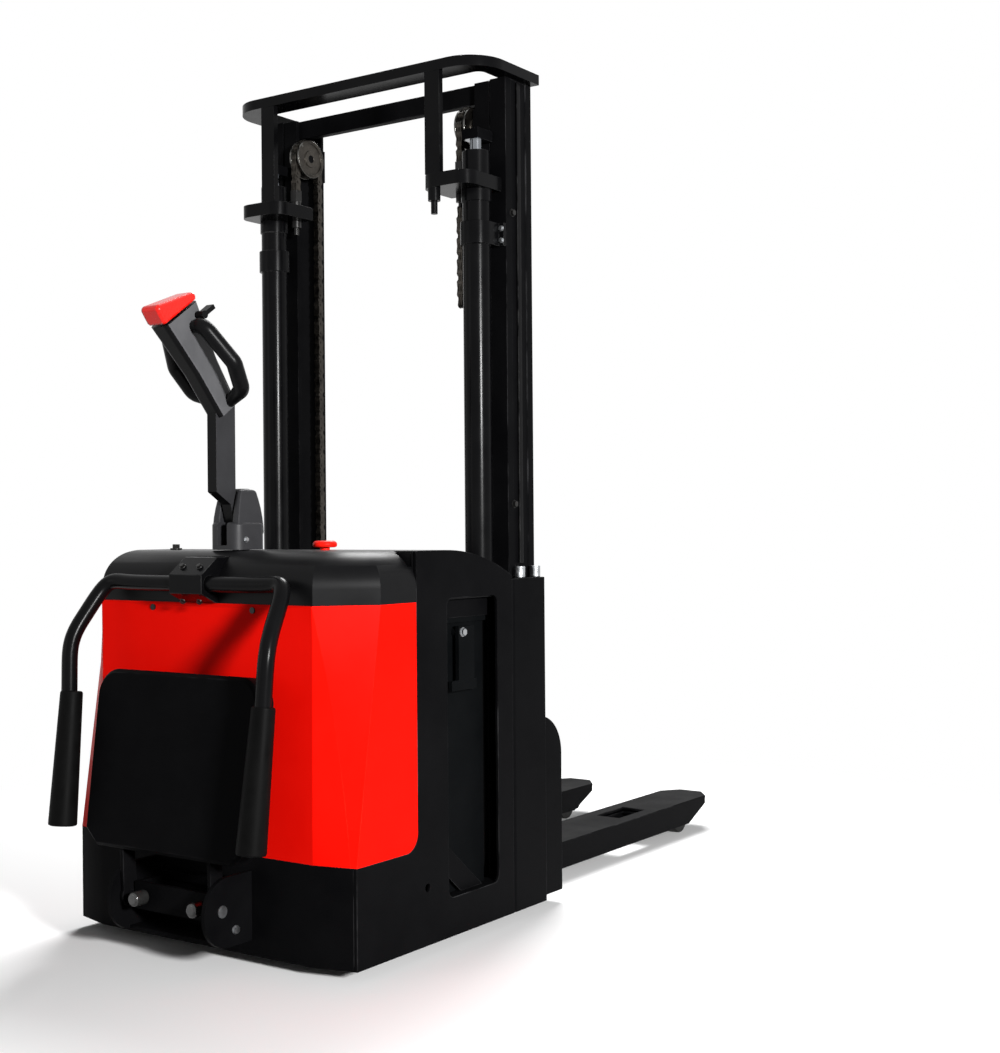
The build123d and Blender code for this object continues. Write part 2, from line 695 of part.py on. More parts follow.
# Deck cover: rounded shoulders over the red cover, flush between the side sheets in front
def deck_body(inset):
    low = COVER_TOP - (1 if inset else 0)
    top = deck_top - inset
    rear_y = COVER_LEAN + inset
    wide = half - inset
    bend = DECK_SHOULDER - inset
    rear_front = SIDE_STEP_Y - SHOW_GAP - inset
    plan = cover_outline(COVER_TOP_CORNER_X, COVER_TOP_CORNER_Y, COVER_LEAN, SIDE_STEP_Y - SHOW_GAP)
    if inset:
        plan = offset(plan, -inset, kind=Kind.INTERSECTION)
    across = Pos(0, (low + top) / 2) * Rectangle(2 * wide, top - low)
    shoulders = across.vertices().group_by(Axis.Y)[-1]
    across = fillet(shoulders, min(bend, top - low - COVER_SHEET))
    along = Pos((rear_y + SIDE_LENGTH) / 2, (low + top) / 2) * Rectangle(SIDE_LENGTH - rear_y, top - low)
    brow = along.vertices().sort_by(lambda v: v.Y - v.X)[-1]
    along = fillet(brow, min(bend, top - low - COVER_SHEET))
    rear = plate_z(plan, low, top) & plate_y(across, 0, SIDE_LENGTH) & plate_x(along, -half, half)
    corner_x, corner_y = COVER_TOP_CORNER_X, COVER_TOP_CORNER_Y
    facet = (half * corner_y - (COVER_LEAN + corner_y) * corner_x) / math.hypot(corner_x, corner_y) - inset
    slant = Pos(facet - half, (low + top) / 2) * Rectangle(2 * half, top - low)
    crown = slant.vertices().sort_by(lambda v: v.X + v.Y)[-1]
    slant = fillet(crown, min(bend, top - low - COVER_SHEET))
    turn = Rot(0, 0, -math.degrees(math.atan2(corner_x, corner_y)))
    corner = turn * plate_y(slant, -2 * half, 2 * half)
    rear = rear & corner & left(corner)
    narrow = body_in - SHOW_GAP - inset
    roof = crest_edges(rear_front - 2 * inset - 1, DECK_FRONT_Y - inset, top - DECK_RISE, low)
    return rear + plate_x(roof, -narrow, narrow)


clamp_slot = CLAMP_HALF + SHOW_GAP
deck = deck_body(0) - deck_body(COVER_SHEET)
deck -= box(-clamp_slot, clamp_slot, -1, CLAMP_LENGTH + SHOW_GAP, COVER_TOP - 1, CLAMP_TOP + SHOW_GAP)
deck -= rod_z(0, STEER_Y, COVER_TOP, deck_top + 1, DECK_COLUMN_HOLE_R)
deck -= rod_z(ESTOP_X, ESTOP_Y, COVER_TOP, deck_top + 1, ESTOP_STEM_R + RUN_FIT)
deck -= rod_z(KEY_X, KEY_Y, COVER_TOP, deck_top + 1, KEY_BARREL_R + RUN_FIT)
save("deck_cover", deck)

# Battery, hydraulic unit and motor controller inside the body
tank_y = BEAM_Y + TANK_BACK
battery_half = body_in - BATTERY_SIDE_GAP
battery_front = BATTERY_Y + BATTERY_LENGTH
battery_top = tray_top + BATTERY_HEIGHT
lid_z = battery_top - BATTERY_LID
case = box(-battery_half + BATTERY_LID_LIP, battery_half - BATTERY_LID_LIP, BATTERY_Y + BATTERY_LID_LIP,
           battery_front - BATTERY_LID_LIP, tray_top, lid_z)
lid = box(-battery_half, battery_half, BATTERY_Y, battery_front, lid_z, battery_top)
latch_z = battery_top - LATCH_DROP
latch_x0 = battery_half + LATCH_GAP
latch_x1 = latch_x0 + LATCH_SHEET
latch_pins = both(rod_x(battery_half - BATTERY_LID_LIP, latch_x1, LATCH_Y, latch_z, LATCH_PIN_R))
latch_seats = both(rod_x(battery_half - BATTERY_LID_LIP, latch_x0 - SHOW_GAP / 2, LATCH_Y, latch_z,
                         LATCH_BOSS_R))
battery = case + lid + latch_pins + latch_seats
cell_pitch = 2 * (battery_half - BATTERY_LID) / CELL_COUNT
cell_rear = BATTERY_Y + BATTERY_LID
cell_front = BATTERY_Y + BATTERY_LENGTH - BATTERY_LID
for count in range(CELL_COUNT):
    cell_x = (count + 0.5 - CELL_COUNT / 2) * cell_pitch
    cell_side = (cell_pitch - CELL_GAP) / 2
    battery += box(cell_x - cell_side, cell_x + cell_side, cell_rear, cell_front, battery_top,
                   battery_top + CELL_HEIGHT)
    cap_foot = battery_top + CELL_HEIGHT
    battery += rod_z(cell_x, (cell_rear + cell_front) / 2, cap_foot, cap_foot + CELL_CAP, CELL_CAP_R)
save("battery", battery)
tank = box(tank_x, tank_x + TANK_WIDTH, tank_y, tank_y + TANK_LENGTH, beam_top, beam_top + TANK_HEIGHT)
tank += rod_z(tank_x + TANK_WIDTH / 4, tank_y + TANK_LENGTH / 2, beam_top, beam_top + TANK_HEIGHT + PUMP_R,
              COLUMN_R)
pump = rod_z(pump_x, tank_y + TANK_LENGTH / 2, beam_top, beam_top + PUMP_HEIGHT, PUMP_R)
pump += box(tank_x + TANK_WIDTH, pump_x, tank_y + TANK_LENGTH / 4, tank_y + TANK_LENGTH * 3 / 4, beam_top,
            beam_top + PUMP_R)
save("hydraulic_unit", tank + pump)
controller = box(controller_x, controller_x + CONTROLLER_WIDTH, BULKHEAD_Y - CONTROLLER_DEPTH, BULKHEAD_Y,
                 CONTROLLER_Z, CONTROLLER_Z + CONTROLLER_HEIGHT)
save("motor_controller", controller)

# Battery latches, a boot-shaped plate on each side
lever = rod_x(latch_x0, latch_x1, LATCH_Y, latch_z, LATCH_BOSS_R)
latch_foot = latch_z - LATCH_LENGTH
lever += box(latch_x0, latch_x1, LATCH_Y - LATCH_BACK, LATCH_Y + LATCH_FRONT, latch_foot,
             latch_z + LATCH_RISE)
lever += box(latch_x0, latch_x1, LATCH_Y - LATCH_FOOT_BACK, LATCH_Y + LATCH_FOOT_FRONT, latch_foot,
             latch_foot + LATCH_FOOT)
lever -= rod_x(latch_x0 - 1, latch_x1 + 1, LATCH_Y, latch_z, LATCH_PIN_R + RUN_FIT)
save("battery_latch_right", lever)
save("battery_latch_left", left(lever))

# Outer uprights: channels that open inwards, with the upper roller pins
top_roller_z = MAST_TOP - TOP_ROLLER_DROP
groove_half = OUTER_DEPTH / 2 - 2 * OUTER_FLANGE
outer = box(outer_in, mast_half, outer_rear, outer_front, beam_top, MAST_TOP)
outer -= box(outer_in - 1, outer_web_in, outer_rear + OUTER_FLANGE, outer_front - OUTER_FLANGE,
             beam_top - 1, MAST_TOP + 1)
outer -= box(mast_half - OUTER_GROOVE, mast_half + 1, MAST_Y - groove_half, MAST_Y + groove_half, post_top,
             MAST_TOP + 1)
outer += rod_x(web_out + ROLLER_SIDE, outer_web_in, MAST_Y, top_roller_z, ROLLER_PIN_R)
save("outer_upright_right", outer)
save("outer_upright_left", left(outer))
outer_tie = box(-mast_half, mast_half, outer_rear - OUTER_TIE_SHEET, outer_rear, OUTER_TIE_Z,
                OUTER_TIE_Z + OUTER_TIE_HEIGHT)
for barrel in both(rod_z(cylinder_x, cylinder_y, OUTER_TIE_Z - 1, OUTER_TIE_Z + OUTER_TIE_HEIGHT + 1,
                         CYLINDER_R + SHOW_GAP)):
    outer_tie -= barrel
save("outer_tie", outer_tie)


# Rollers of the nested mast, each with the bore for its pin
def mast_roller(x0, x1, z, r):
    wheel = rod_x(x0, x1, MAST_Y, z, r)
    return wheel - rod_x(x0 - 1, x1 + 1, MAST_Y, z, ROLLER_PIN_R + RUN_FIT)


foot_roller_z = inner_foot + FOOT_ROLLER_RISE
carriage_roller_low = CARRIAGE_BOTTOM + CARRIAGE_ROLLER_INSET
carriage_roller_high = CARRIAGE_TOP - CARRIAGE_ROLLER_INSET
foot_roller_x0 = outer_in + ROLLER_SIDE
foot_roller_x1 = outer_web_in - ROLLER_SIDE
save("top_rollers", *both(mast_roller(web_out + ROLLER_SIDE, inner_out - ROLLER_SIDE, top_roller_z,
                                      inner_roller_r)))
save("inner_rollers", *both(mast_roller(foot_roller_x0, foot_roller_x1, foot_roller_z, outer_roller_r)))
carriage_x0 = inner_in + ROLLER_SIDE
carriage_x1 = web_in - ROLLER_SIDE
save("carriage_rollers_lower", *both(mast_roller(carriage_x0, carriage_x1, carriage_roller_low,
                                                 inner_roller_r)))
save("carriage_rollers_upper", *both(mast_roller(carriage_x0, carriage_x1, carriage_roller_high,
                                                 inner_roller_r)))

# Inner uprights: I sections with the foot roller pins, sheave pads and sheave pins
inner = box(inner_in, inner_out, inner_rear, inner_front, inner_foot, inner_top)
channel_rear = inner_rear + INNER_FLANGE
channel_front = inner_front - INNER_FLANGE
inner -= box(inner_in - 1, web_in, channel_rear, channel_front, inner_foot - 1, inner_top + 1)
inner -= box(web_out, inner_out + 1, channel_rear, channel_front, inner_foot - 1, inner_top + 1)
inner += rod_x(web_out, foot_roller_x1, MAST_Y, foot_roller_z, ROLLER_PIN_R)
pad_z0 = sheave_z - SHEAVE_PAD_HEIGHT / 2
inner += box(inner_in - SHEAVE_PAD, inner_in, inner_rear, inner_front, pad_z0, pad_z0 + SHEAVE_PAD_HEIGHT)
sheave_in = chain_x - SHEAVE_WIDTH / 2
inner += rod_x(sheave_in, inner_in, sheave_y, sheave_z, SHEAVE_PIN_R)
save("inner_upright_right", inner)
save("inner_upright_left", left(inner))
top_tie = box(-web_in, web_in, TOP_TIE_Y, TOP_TIE_Y + TOP_TIE_SHEET, inner_top - TOP_TIE_HEIGHT, inner_top)
foot_tie_z = inner_foot + INNER_FOOT_GAP
foot_tie = box(-inner_in, inner_in, inner_rear, inner_rear + FOOT_TIE_SHEET, foot_tie_z,
               foot_tie_z + FOOT_TIE_HEIGHT)
save("inner_ties", top_tie, foot_tie)

# Hoop over the mast, carried by the uprights, with the ears that hold the cylinders and chains
hoop_face = Pos(0, (HOOP_REAR_Y + HOOP_FRONT_Y) / 2)
hoop_face = hoop_face * Rectangle(2 * hoop_half, HOOP_FRONT_Y - HOOP_REAR_Y)
hoop_face = fillet(hoop_face.vertices().group_by(Axis.Y)[0], HOOP_CORNER)
gap_rear = HOOP_REAR_Y + HOOP_BAR
hoop_gap = Pos(0, (gap_rear + HOOP_FRONT_Y + HOOP_BAR) / 2)
hoop_gap = hoop_gap * Rectangle(2 * (hoop_half - HOOP_SIDE), HOOP_FRONT_Y + HOOP_BAR - gap_rear)
hoop_gap = fillet(hoop_gap.vertices().group_by(Axis.Y)[0], HOOP_INNER_CORNER)
hoop = plate_z(hoop_face - hoop_gap, MAST_TOP, MAST_TOP + HOOP_SHEET)
ear_front = inner_rear - EAR_CORNER / 4
ear_face = Pos((ear_in + ear_out) / 2, (EAR_REAR_Y + ear_front) / 2)
ear_face = ear_face * Rectangle(ear_out - ear_in, ear_front - EAR_REAR_Y)
ear_face = fillet(ear_face.vertices().group_by(Axis.Y)[0], EAR_CORNER)
ear_root = Pos((outer_in + ear_out) / 2, (ear_front + outer_rear) / 2)
ear_face += ear_root * Rectangle(ear_out - outer_in, outer_rear - ear_front)
ear_face -= Pos(cylinder_x, cylinder_y) * Circle(CYLINDER_R + RUN_FIT)
ear_face -= Pos(chain_x, chain_rear_y) * Circle(ANCHOR_R + RUN_FIT)
ear = plate_z(ear_face, ear_z, ear_top)
hoop_post_x0 = hoop_post_x - HOOP_POST_WIDTH / 2
hoop_post_y = HOOP_REAR_Y + SHOW_GAP
hoop_post = box(hoop_post_x0, hoop_post_x0 + HOOP_POST_WIDTH, hoop_post_y, hoop_post_y + HOOP_POST_SHEET,
                ear_top, MAST_TOP)
stud_y = hoop_post_y + HOOP_POST_SHEET / 2
stud = rod_z(hoop_post_x, stud_y, ear_z - STOP_STUD, ear_z, STOP_STUD_R)
stud += rod_z(hoop_post_x, stud_y, ear_z - STOP_NUT, ear_z, STOP_NUT_R)
save("mast_hoop", hoop + ear + hoop_post + stud + left(ear + hoop_post))

# Lift cylinders with their strap to the upright, and the rods that push the inner mast
cylinder_foot = beam_top
barrel = rod_z(cylinder_x, cylinder_y, cylinder_foot, cylinder_top, CYLINDER_R)
barrel += rod_z(cylinder_x, cylinder_y, ear_z - CYLINDER_COLLAR, ear_z, CYLINDER_COLLAR_R)
strap_r = CYLINDER_R + STRAP_SHEET
barrel += rod_z(cylinder_x, cylinder_y, strap_z, strap_z + STRAP_HEIGHT, strap_r)
lug_x = outer_in + SHOW_GAP
barrel += box(lug_x, mast_half - SHOW_GAP, outer_rear - OUTER_TIE_SHEET, outer_rear, strap_z,
              strap_z + STRAP_HEIGHT)
barrel += box(lug_x, cylinder_x + strap_r, cylinder_y, outer_rear - OUTER_TIE_SHEET, strap_z,
              strap_z + STRAP_HEIGHT)
bore_z = cylinder_foot + CYLINDER_FLOOR
barrel -= rod_z(cylinder_x, cylinder_y, bore_z, cylinder_top - GLAND, CYLINDER_BORE_R)
barrel -= rod_z(cylinder_x, cylinder_y, bore_z, cylinder_top + 1, ROD_R + RUN_FIT)
save("cylinder_right", barrel)
save("cylinder_left", left(barrel))
piston_z = bore_z + PISTON
rod = rod_z(cylinder_x, cylinder_y, piston_z, rod_top, ROD_R)
rod += rod_z(cylinder_x, cylinder_y, piston_z, piston_z + PISTON, CYLINDER_BORE_R - PISTON_FIT)
bracket_rear = cylinder_y - ROD_R - PIN_HEAD
bracket_front = outer_rear - INNER_SIDE_GAP
bracket_x0 = cylinder_x - ROD_BRACKET_IN
rod += box(bracket_x0, cylinder_x + ROD_BRACKET_OUT, bracket_rear, bracket_front, rod_top,
           rod_top + ROD_BRACKET)
rod += box(bracket_x0, inner_out, bracket_front, inner_rear, rod_top, rod_top + ROD_BRACKET)
save("lift_rods", *both(rod))

# Chain anchors on the ears
nut_top = ear_top + ANCHOR_NUT
anchor_top = nut_top + ANCHOR_HEAD
anchor = rod_z(chain_x, chain_rear_y, ear_z - ANCHOR_TAIL, nut_top, ANCHOR_R)
anchor += rod_z(chain_x, chain_rear_y, ear_top, nut_top, ANCHOR_NUT_R)
anchor += rod_z(chain_x, chain_rear_y, ear_z - ANCHOR_NUT, ear_z, ANCHOR_NUT_R)
anchor += box(chain_x - CHAIN_WIDTH / 2, chain_x + CHAIN_WIDTH / 2, chain_rear_y - CHAIN_DEPTH / 2,
              chain_rear_y + CHAIN_DEPTH / 2, nut_top, anchor_top)
save("chain_anchors", *both(anchor))

# Leaf chains: from the anchor up, over the sheave and down to the carriage
chain_foot = CARRIAGE_TOP + CHAIN_LUG_HEIGHT
rear_run = sheave_z - anchor_top
wrap_run = math.pi * CHAIN_R
chain_run = rear_run + wrap_run + sheave_z - chain_foot
link_count = round(chain_run / CHAIN_PITCH)
link_step = chain_run / link_count


def chain_point(along):
    """Place on the chain's middle line, as (Y, Z), a distance along it."""
    if along < rear_run:
        return chain_rear_y, anchor_top + along
    if along < rear_run + wrap_run:
        turn = (along - rear_run) / CHAIN_R
        return sheave_y - CHAIN_R * math.cos(turn), sheave_z + CHAIN_R * math.sin(turn)
    return chain_front_y, sheave_z - (along - rear_run - wrap_run)


def link_plate(index, x0, x1):
    """A leaf with pointed ends, from one pin of the chain to the next."""
    y0, z0 = chain_point(index * link_step)
    y1, z1 = chain_point((index + 1) * link_step)
    pitch = math.hypot(y1 - y0, z1 - z0)
    end = CHAIN_POINT
    first = 0 if index == 0 else end
    last = pitch if index == link_count - 1 else pitch + end
    wide = CHAIN_DEPTH / 2
    flat = min(end, pitch / 4)
    leaf = [(-first, 0), (flat - end, wide), (pitch - flat + end, wide), (last, 0),
            (pitch - flat + end, -wide), (flat - end, -wide)]
    if index == 0:
        leaf = [(0, wide)] + leaf[2:5] + [(0, -wide)]
    if index == link_count - 1:
        leaf = leaf[:2] + [(pitch, wide), (pitch, -wide)] + leaf[5:]
    lie = math.degrees(math.atan2(z1 - z0, y1 - y0))
    return plate_x(Pos(y0, z0) * Rot(0, 0, lie) * outline(leaf), x0, x1)


chain = []
core = CHAIN_CORE / 2
for index in range(link_count):
    if index % 2 == 0:
        chain.append(link_plate(index, chain_x - core, chain_x + core))
    else:
        chain.append(link_plate(index, chain_x - CHAIN_WIDTH / 2, chain_x - core - 4 * RUN_FIT))
        chain.append(link_plate(index, chain_x + core + 4 * RUN_FIT, chain_x + CHAIN_WIDTH / 2))
save("lift_chain_right", *chain)
save("lift_chain_left", *[left(leaf) for leaf in chain])

# Chain sheaves on the inner mast
sheave_tread = CHAIN_R * math.cos(link_step / CHAIN_R / 2) - CHAIN_DEPTH / 2 - SHOW_GAP / 2
sheave = rod_x(sheave_in, sheave_out, sheave_y, sheave_z, sheave_tread)
sheave += rod_x(sheave_in, sheave_in + SHEAVE_FLANGE, sheave_y, sheave_z, SHEAVE_FLANGE_R)
sheave += rod_x(sheave_out - SHEAVE_FLANGE, sheave_out, sheave_y, sheave_z, SHEAVE_FLANGE_R)
sheave -= rod_x(sheave_in - 1, sheave_out + 1, sheave_y, sheave_z, SHEAVE_PIN_R + RUN_FIT)
dish_r = SHEAVE_FLANGE_R - SHEAVE_RIM
for face_x in (sheave_in, sheave_out):
    dish = rod_x(face_x - SHEAVE_DISH, face_x + SHEAVE_DISH, sheave_y, sheave_z, dish_r)
    sheave -= dish - rod_x(face_x - SHEAVE_DISH, face_x + SHEAVE_DISH, sheave_y, sheave_z, SHEAVE_HUB_R)
save("chain_sheaves", *both(sheave))

# Carriage: side plates with roller pins and chain lugs, tied by two bars
cheek = box(carriage_in, carriage_out, MAST_Y - CARRIAGE_BACK, CARRIAGE_BAR_Y, CARRIAGE_BOTTOM,
            CARRIAGE_TOP)
for z in (carriage_roller_low, carriage_roller_high):
    cheek += rod_x(carriage_out, carriage_x1, MAST_Y, z, ROLLER_PIN_R)
cheek += box(chain_x - CHAIN_WIDTH / 2, carriage_out, chain_front_y - CHAIN_DEPTH / 2,
             chain_front_y + CHAIN_DEPTH / 2,
             CARRIAGE_TOP - HIGH_BAR_HEIGHT, chain_foot)
low_bar = box(-carriage_out, carriage_out, CARRIAGE_BAR_Y, heel_y, CARRIAGE_BOTTOM,
              CARRIAGE_BOTTOM + LOW_BAR_HEIGHT)
high_bar = box(-carriage_out, carriage_out, CARRIAGE_BAR_Y, heel_y, CARRIAGE_TOP - HIGH_BAR_HEIGHT,
               CARRIAGE_TOP)
save("carriage_frame", cheek + left(cheek) + low_bar + high_bar)

# Forks: folded over the legs, with a heel plate on the carriage bars and a cut-back nose
fork_shape = [(FORK_INSIDE, heel_y), (fork_outside, heel_y), (fork_outside, fork_tip - FORK_NOSE_Y),
              (fork_outside - FORK_NOSE_X, fork_tip), (FORK_INSIDE + FORK_NOSE_X, fork_tip),
              (FORK_INSIDE, fork_tip - FORK_NOSE_Y)]
fork_window = Pos(fork_mid, fork_tip - FORK_WINDOW_BACK) * Rectangle(FORK_WINDOW_WIDTH, FORK_WINDOW_LENGTH)
fork = plate_z(outline(fork_shape) - fork_window, FORK_TOP - FORK_SHEET, FORK_TOP)
wall_y = heel_y + FORK_WALL_SETBACK
wall_shape = [(wall_y, FORK_BOTTOM), (fork_tip - 3 * FORK_NOSE_Y, FORK_BOTTOM),
              (fork_tip - FORK_NOSE_Y, FORK_TOP - 3 * FORK_SHEET),
              (fork_tip - FORK_NOSE_Y, FORK_TOP), (wall_y, FORK_TOP)]
fork += plate_x(outline(wall_shape), FORK_INSIDE, FORK_INSIDE + FORK_SHEET)
fork += plate_x(outline(wall_shape), fork_outside - FORK_SHEET, fork_outside)
fork += box(FORK_INSIDE, fork_outside, heel_y, heel_y + FORK_HEEL, FORK_TOP, CARRIAGE_TOP)
save("fork_right", fork)
save("fork_left", left(fork))

# Drive unit: gearbox that turns in the drive plate, with the motor above and the wheel beside its leg
wheel_half = DRIVE_WHEEL_WIDTH / 2
neck_z = 2 * DRIVE_WHEEL_R + WHEEL_TOP_GAP
flange_z = plate_top + DRIVE_LIFT
motor_z = flange_z + DRIVE_FLANGE
motor_top = motor_z + MOTOR_HEIGHT
gear_x = wheel_half + DRIVE_LEG_GAP
gearbox = rod_z(0, STEER_Y, neck_z, flange_z, DRIVE_NECK_R)
gearbox += rod_z(0, STEER_Y, flange_z, motor_z, DRIVE_FLANGE_R)
gear_case = Pos(STEER_Y,
                (DRIVE_LEG_FOOT + neck_z) / 2) * Rectangle(DRIVE_LEG_LENGTH, neck_z - DRIVE_LEG_FOOT)
gear_case = fillet(gear_case.vertices().group_by(Axis.Y)[0], DRIVE_LEG_CORNER)
gearbox += plate_x(gear_case, gear_x, gear_x + DRIVE_LEG_WIDTH)
gearbox += rod_x(-wheel_half, gear_x, STEER_Y, DRIVE_WHEEL_R, DRIVE_AXLE_R)
save("drive_gearbox", gearbox)
save("drive_motor", rod_z(0, STEER_Y, motor_z, motor_top, MOTOR_R))
drive_wheel = rod_x(-wheel_half, wheel_half, STEER_Y, DRIVE_WHEEL_R, DRIVE_WHEEL_R)
drive_wheel -= rod_x(-wheel_half - 1, -wheel_half + DRIVE_LEG_GAP, STEER_Y, DRIVE_WHEEL_R, DRIVE_HUB_R)
drive_wheel -= rod_x(-wheel_half - 1, wheel_half + 1, STEER_Y, DRIVE_WHEEL_R, DRIVE_AXLE_R + RUN_FIT)
save("drive_wheel", drive_wheel)

# Swivel casters under the drive plate
caster_axle_y = CASTER_Y - CASTER_TRAIL
caster_half = CASTER_WHEEL_WIDTH / 2
caster_top = plate_bottom - DRIVE_LIFT
caster_seat = caster_top - CASTER_PLATE
caster = rod_z(caster_x, CASTER_Y, caster_seat, plate_top, CASTER_STEM_R)
caster += rod_z(caster_x, CASTER_Y, caster_seat, caster_top, CASTER_PLATE_R)
cheek_in = caster_half + CASTER_CHEEK_GAP
cheek_out = cheek_in + CASTER_CHEEK
cheek_reach = CASTER_CHEEK_REACH
cheek_shape = outline([(CASTER_Y - cheek_reach, caster_top), (CASTER_Y + cheek_reach, caster_top),
                       (caster_axle_y + 2 * CASTER_AXLE_R, CASTER_WHEEL_R - CASTER_AXLE_R),
                       (caster_axle_y - 2 * CASTER_AXLE_R, CASTER_WHEEL_R - CASTER_AXLE_R)])
caster += plate_x(cheek_shape, caster_x + cheek_in, caster_x + cheek_out)
caster += plate_x(cheek_shape, caster_x - cheek_out, caster_x - cheek_in)
caster += rod_x(caster_x - cheek_out, caster_x + cheek_out, caster_axle_y, CASTER_WHEEL_R, CASTER_AXLE_R)
save("caster_fork_right", caster)
save("caster_fork_left", left(caster))
caster_wheel = rod_x(caster_x - caster_half, caster_x + caster_half, caster_axle_y, CASTER_WHEEL_R,
                     CASTER_WHEEL_R)
caster_wheel -= rod_x(caster_x - cheek_in, caster_x + cheek_in, caster_axle_y, CASTER_WHEEL_R,
                      CASTER_AXLE_R + RUN_FIT)
save("caster_wheel_right", caster_wheel)
save("caster_wheel_left", left(caster_wheel))

# Tiller base on the steering column, slotted for the arm, with a hood in front of it
base_z = deck_top + TILLER_BASE_LIFT
base_top = base_z + TILLER_BASE_HEIGHT
pivot_z = base_z + TILLER_PIVOT_RISE
slot_top = base_top + TILLER_BASE_FLOOR
base_length = TILLER_BASE_FRONT_Y - TILLER_BASE_REAR_Y
collar_plan = RectangleRounded(2 * TILLER_BASE_HALF, base_length, TILLER_BASE_CORNER)
collar = plate_z(Pos(0, TILLER_BASE_REAR_Y + base_length / 2) * collar_plan, base_z, base_top)
collar = fillet(collar.faces().sort_by(Axis.Z)[-1].edges(), TILLER_BASE_EDGE)
hood_foot = Pos(0, HOOD_Y + HOOD_FOOT_LENGTH / 2, base_top - TILLER_BASE_EDGE)
hood_foot = hood_foot * RectangleRounded(2 * HOOD_FOOT_HALF, HOOD_FOOT_LENGTH, HOOD_CORNER)
hood_head = Pos(0, HOOD_Y + HOOD_TOP_LENGTH / 2, HOOD_TOP)
hood_head = hood_head * RectangleRounded(2 * HOOD_TOP_HALF, HOOD_TOP_LENGTH, HOOD_CORNER)
hood = loft([hood_foot, hood_head], ruled=True)
hood = fillet(hood.faces().sort_by(Axis.Z)[-1].edges(), TILLER_BASE_EDGE)
tiller_base = collar + hood
arm_half = ARM_THICKNESS / 2
slot_half = arm_half + ARM_SIDE_GAP
slot_front = TILLER_PIVOT_Y + TILLER_PIVOT_BOSS_R + PIN_HEAD
slot_floor = base_z + TILLER_BASE_FLOOR
tiller_base -= box(-slot_half, slot_half, TILLER_BASE_REAR_Y - 1, slot_front, slot_floor, slot_top)
tiller_base += rod_x(-slot_half - 1, slot_half + 1, TILLER_PIVOT_Y, pivot_z, TILLER_PIN_R)
tiller_base += rod_z(0, STEER_Y, motor_top, base_z, COLUMN_R)
save("tiller_base", tiller_base)

# Tiller head, drawn in its own leaning frame: X across, then depth, then length
lean = math.radians(HEAD_LEAN)
head_frame = Plane(origin=(0, HEAD_Y, HEAD_Z), x_dir=(1, 0, 0), z_dir=(0, -math.sin(lean), math.cos(lean)))
head_waist = GRIP_TOP / 2
waist_half = HEAD_FOOT_HALF
waist_depth = HEAD_FOOT_DEPTH + HEAD_EDGE
head_rise = (HEAD_TOP_DEPTH - waist_depth) / 2 / (HEAD_LENGTH - head_waist)


def head_face(along):
    """Half the head's depth a distance along it, above the waist."""
    return waist_depth / 2 + head_rise * (along - head_waist)


head_foot = RectangleRounded(2 * HEAD_FOOT_HALF, HEAD_FOOT_DEPTH, HEAD_EDGE)
head_middle = RectangleRounded(2 * waist_half, waist_depth, HEAD_EDGE)
head_end = RectangleRounded(2 * HEAD_TOP_HALF, HEAD_TOP_DEPTH, HEAD_EDGE)
head_cuts = [Pos(0, 0, -HEAD_TAIL) * head_foot, Pos(0, 0, head_waist) * head_middle,
             Pos(0, 0, HEAD_LENGTH) * head_end]
head = loft(head_cuts, ruled=True)
grip_root = HEAD_FOOT_HALF - PIN_HEAD
grip_path = FilletPolyline((grip_root, GRIP_W, GRIP_TOP), (GRIP_TOP_REACH, GRIP_W, GRIP_TOP),
                           (GRIP_REACH, GRIP_W, GRIP_WAIST), (GRIP_FOOT_REACH, GRIP_W, GRIP_FOOT),
                           (grip_root, GRIP_W, GRIP_HEEL), radius=GRIP_BEND)
grip = sweep(Plane(origin=grip_path @ 0, z_dir=grip_path % 0) * Circle(GRIP_R), path=grip_path)
head += grip
head += left(grip)
belly_z = HEAD_LENGTH + belly_gap
stem_z = HEAD_LENGTH - BELLY_STEM
head -= rod_z(0, 0, stem_z - belly_gap, HEAD_LENGTH + 1, BELLY_STEM_R + RUN_FIT)
wing_in = HEAD_TOP_HALF + SHOW_GAP
wing_out = wing_in + THROTTLE_WING
head -= rod_x(-wing_in, wing_in, THROTTLE_W, THROTTLE_S, THROTTLE_SHAFT_R + RUN_FIT)
horn_top = head_face(HORN_S) + HORN_RISE
horn_foot = horn_top - HORN_RISE - HORN_STEM
head -= rod_y(0, horn_foot - HORN_RISE, horn_top + 1, HORN_S, HORN_R + RUN_FIT)
rocker_w = head_face(ROCKER_S)
pocket = ROCKER_LENGTH / 2 + SHOW_GAP
pocket_half = ROCKER_HALF + SHOW_GAP
pocket_foot = rocker_w - 4 * ROCKER_PIN_R
head -= box(-pocket_half, pocket_half, pocket_foot, rocker_w + ROCKER_LENGTH, ROCKER_S - pocket,
            ROCKER_S + pocket)
rocker_pin_w = rocker_w - ROCKER_PIN_R
rocker_pin = pocket_half + PIN_HEAD
head -= rod_x(-rocker_pin, rocker_pin, rocker_pin_w, ROCKER_S, ROCKER_PIN_R + RUN_FIT)
save("tiller_head", head_frame * head)

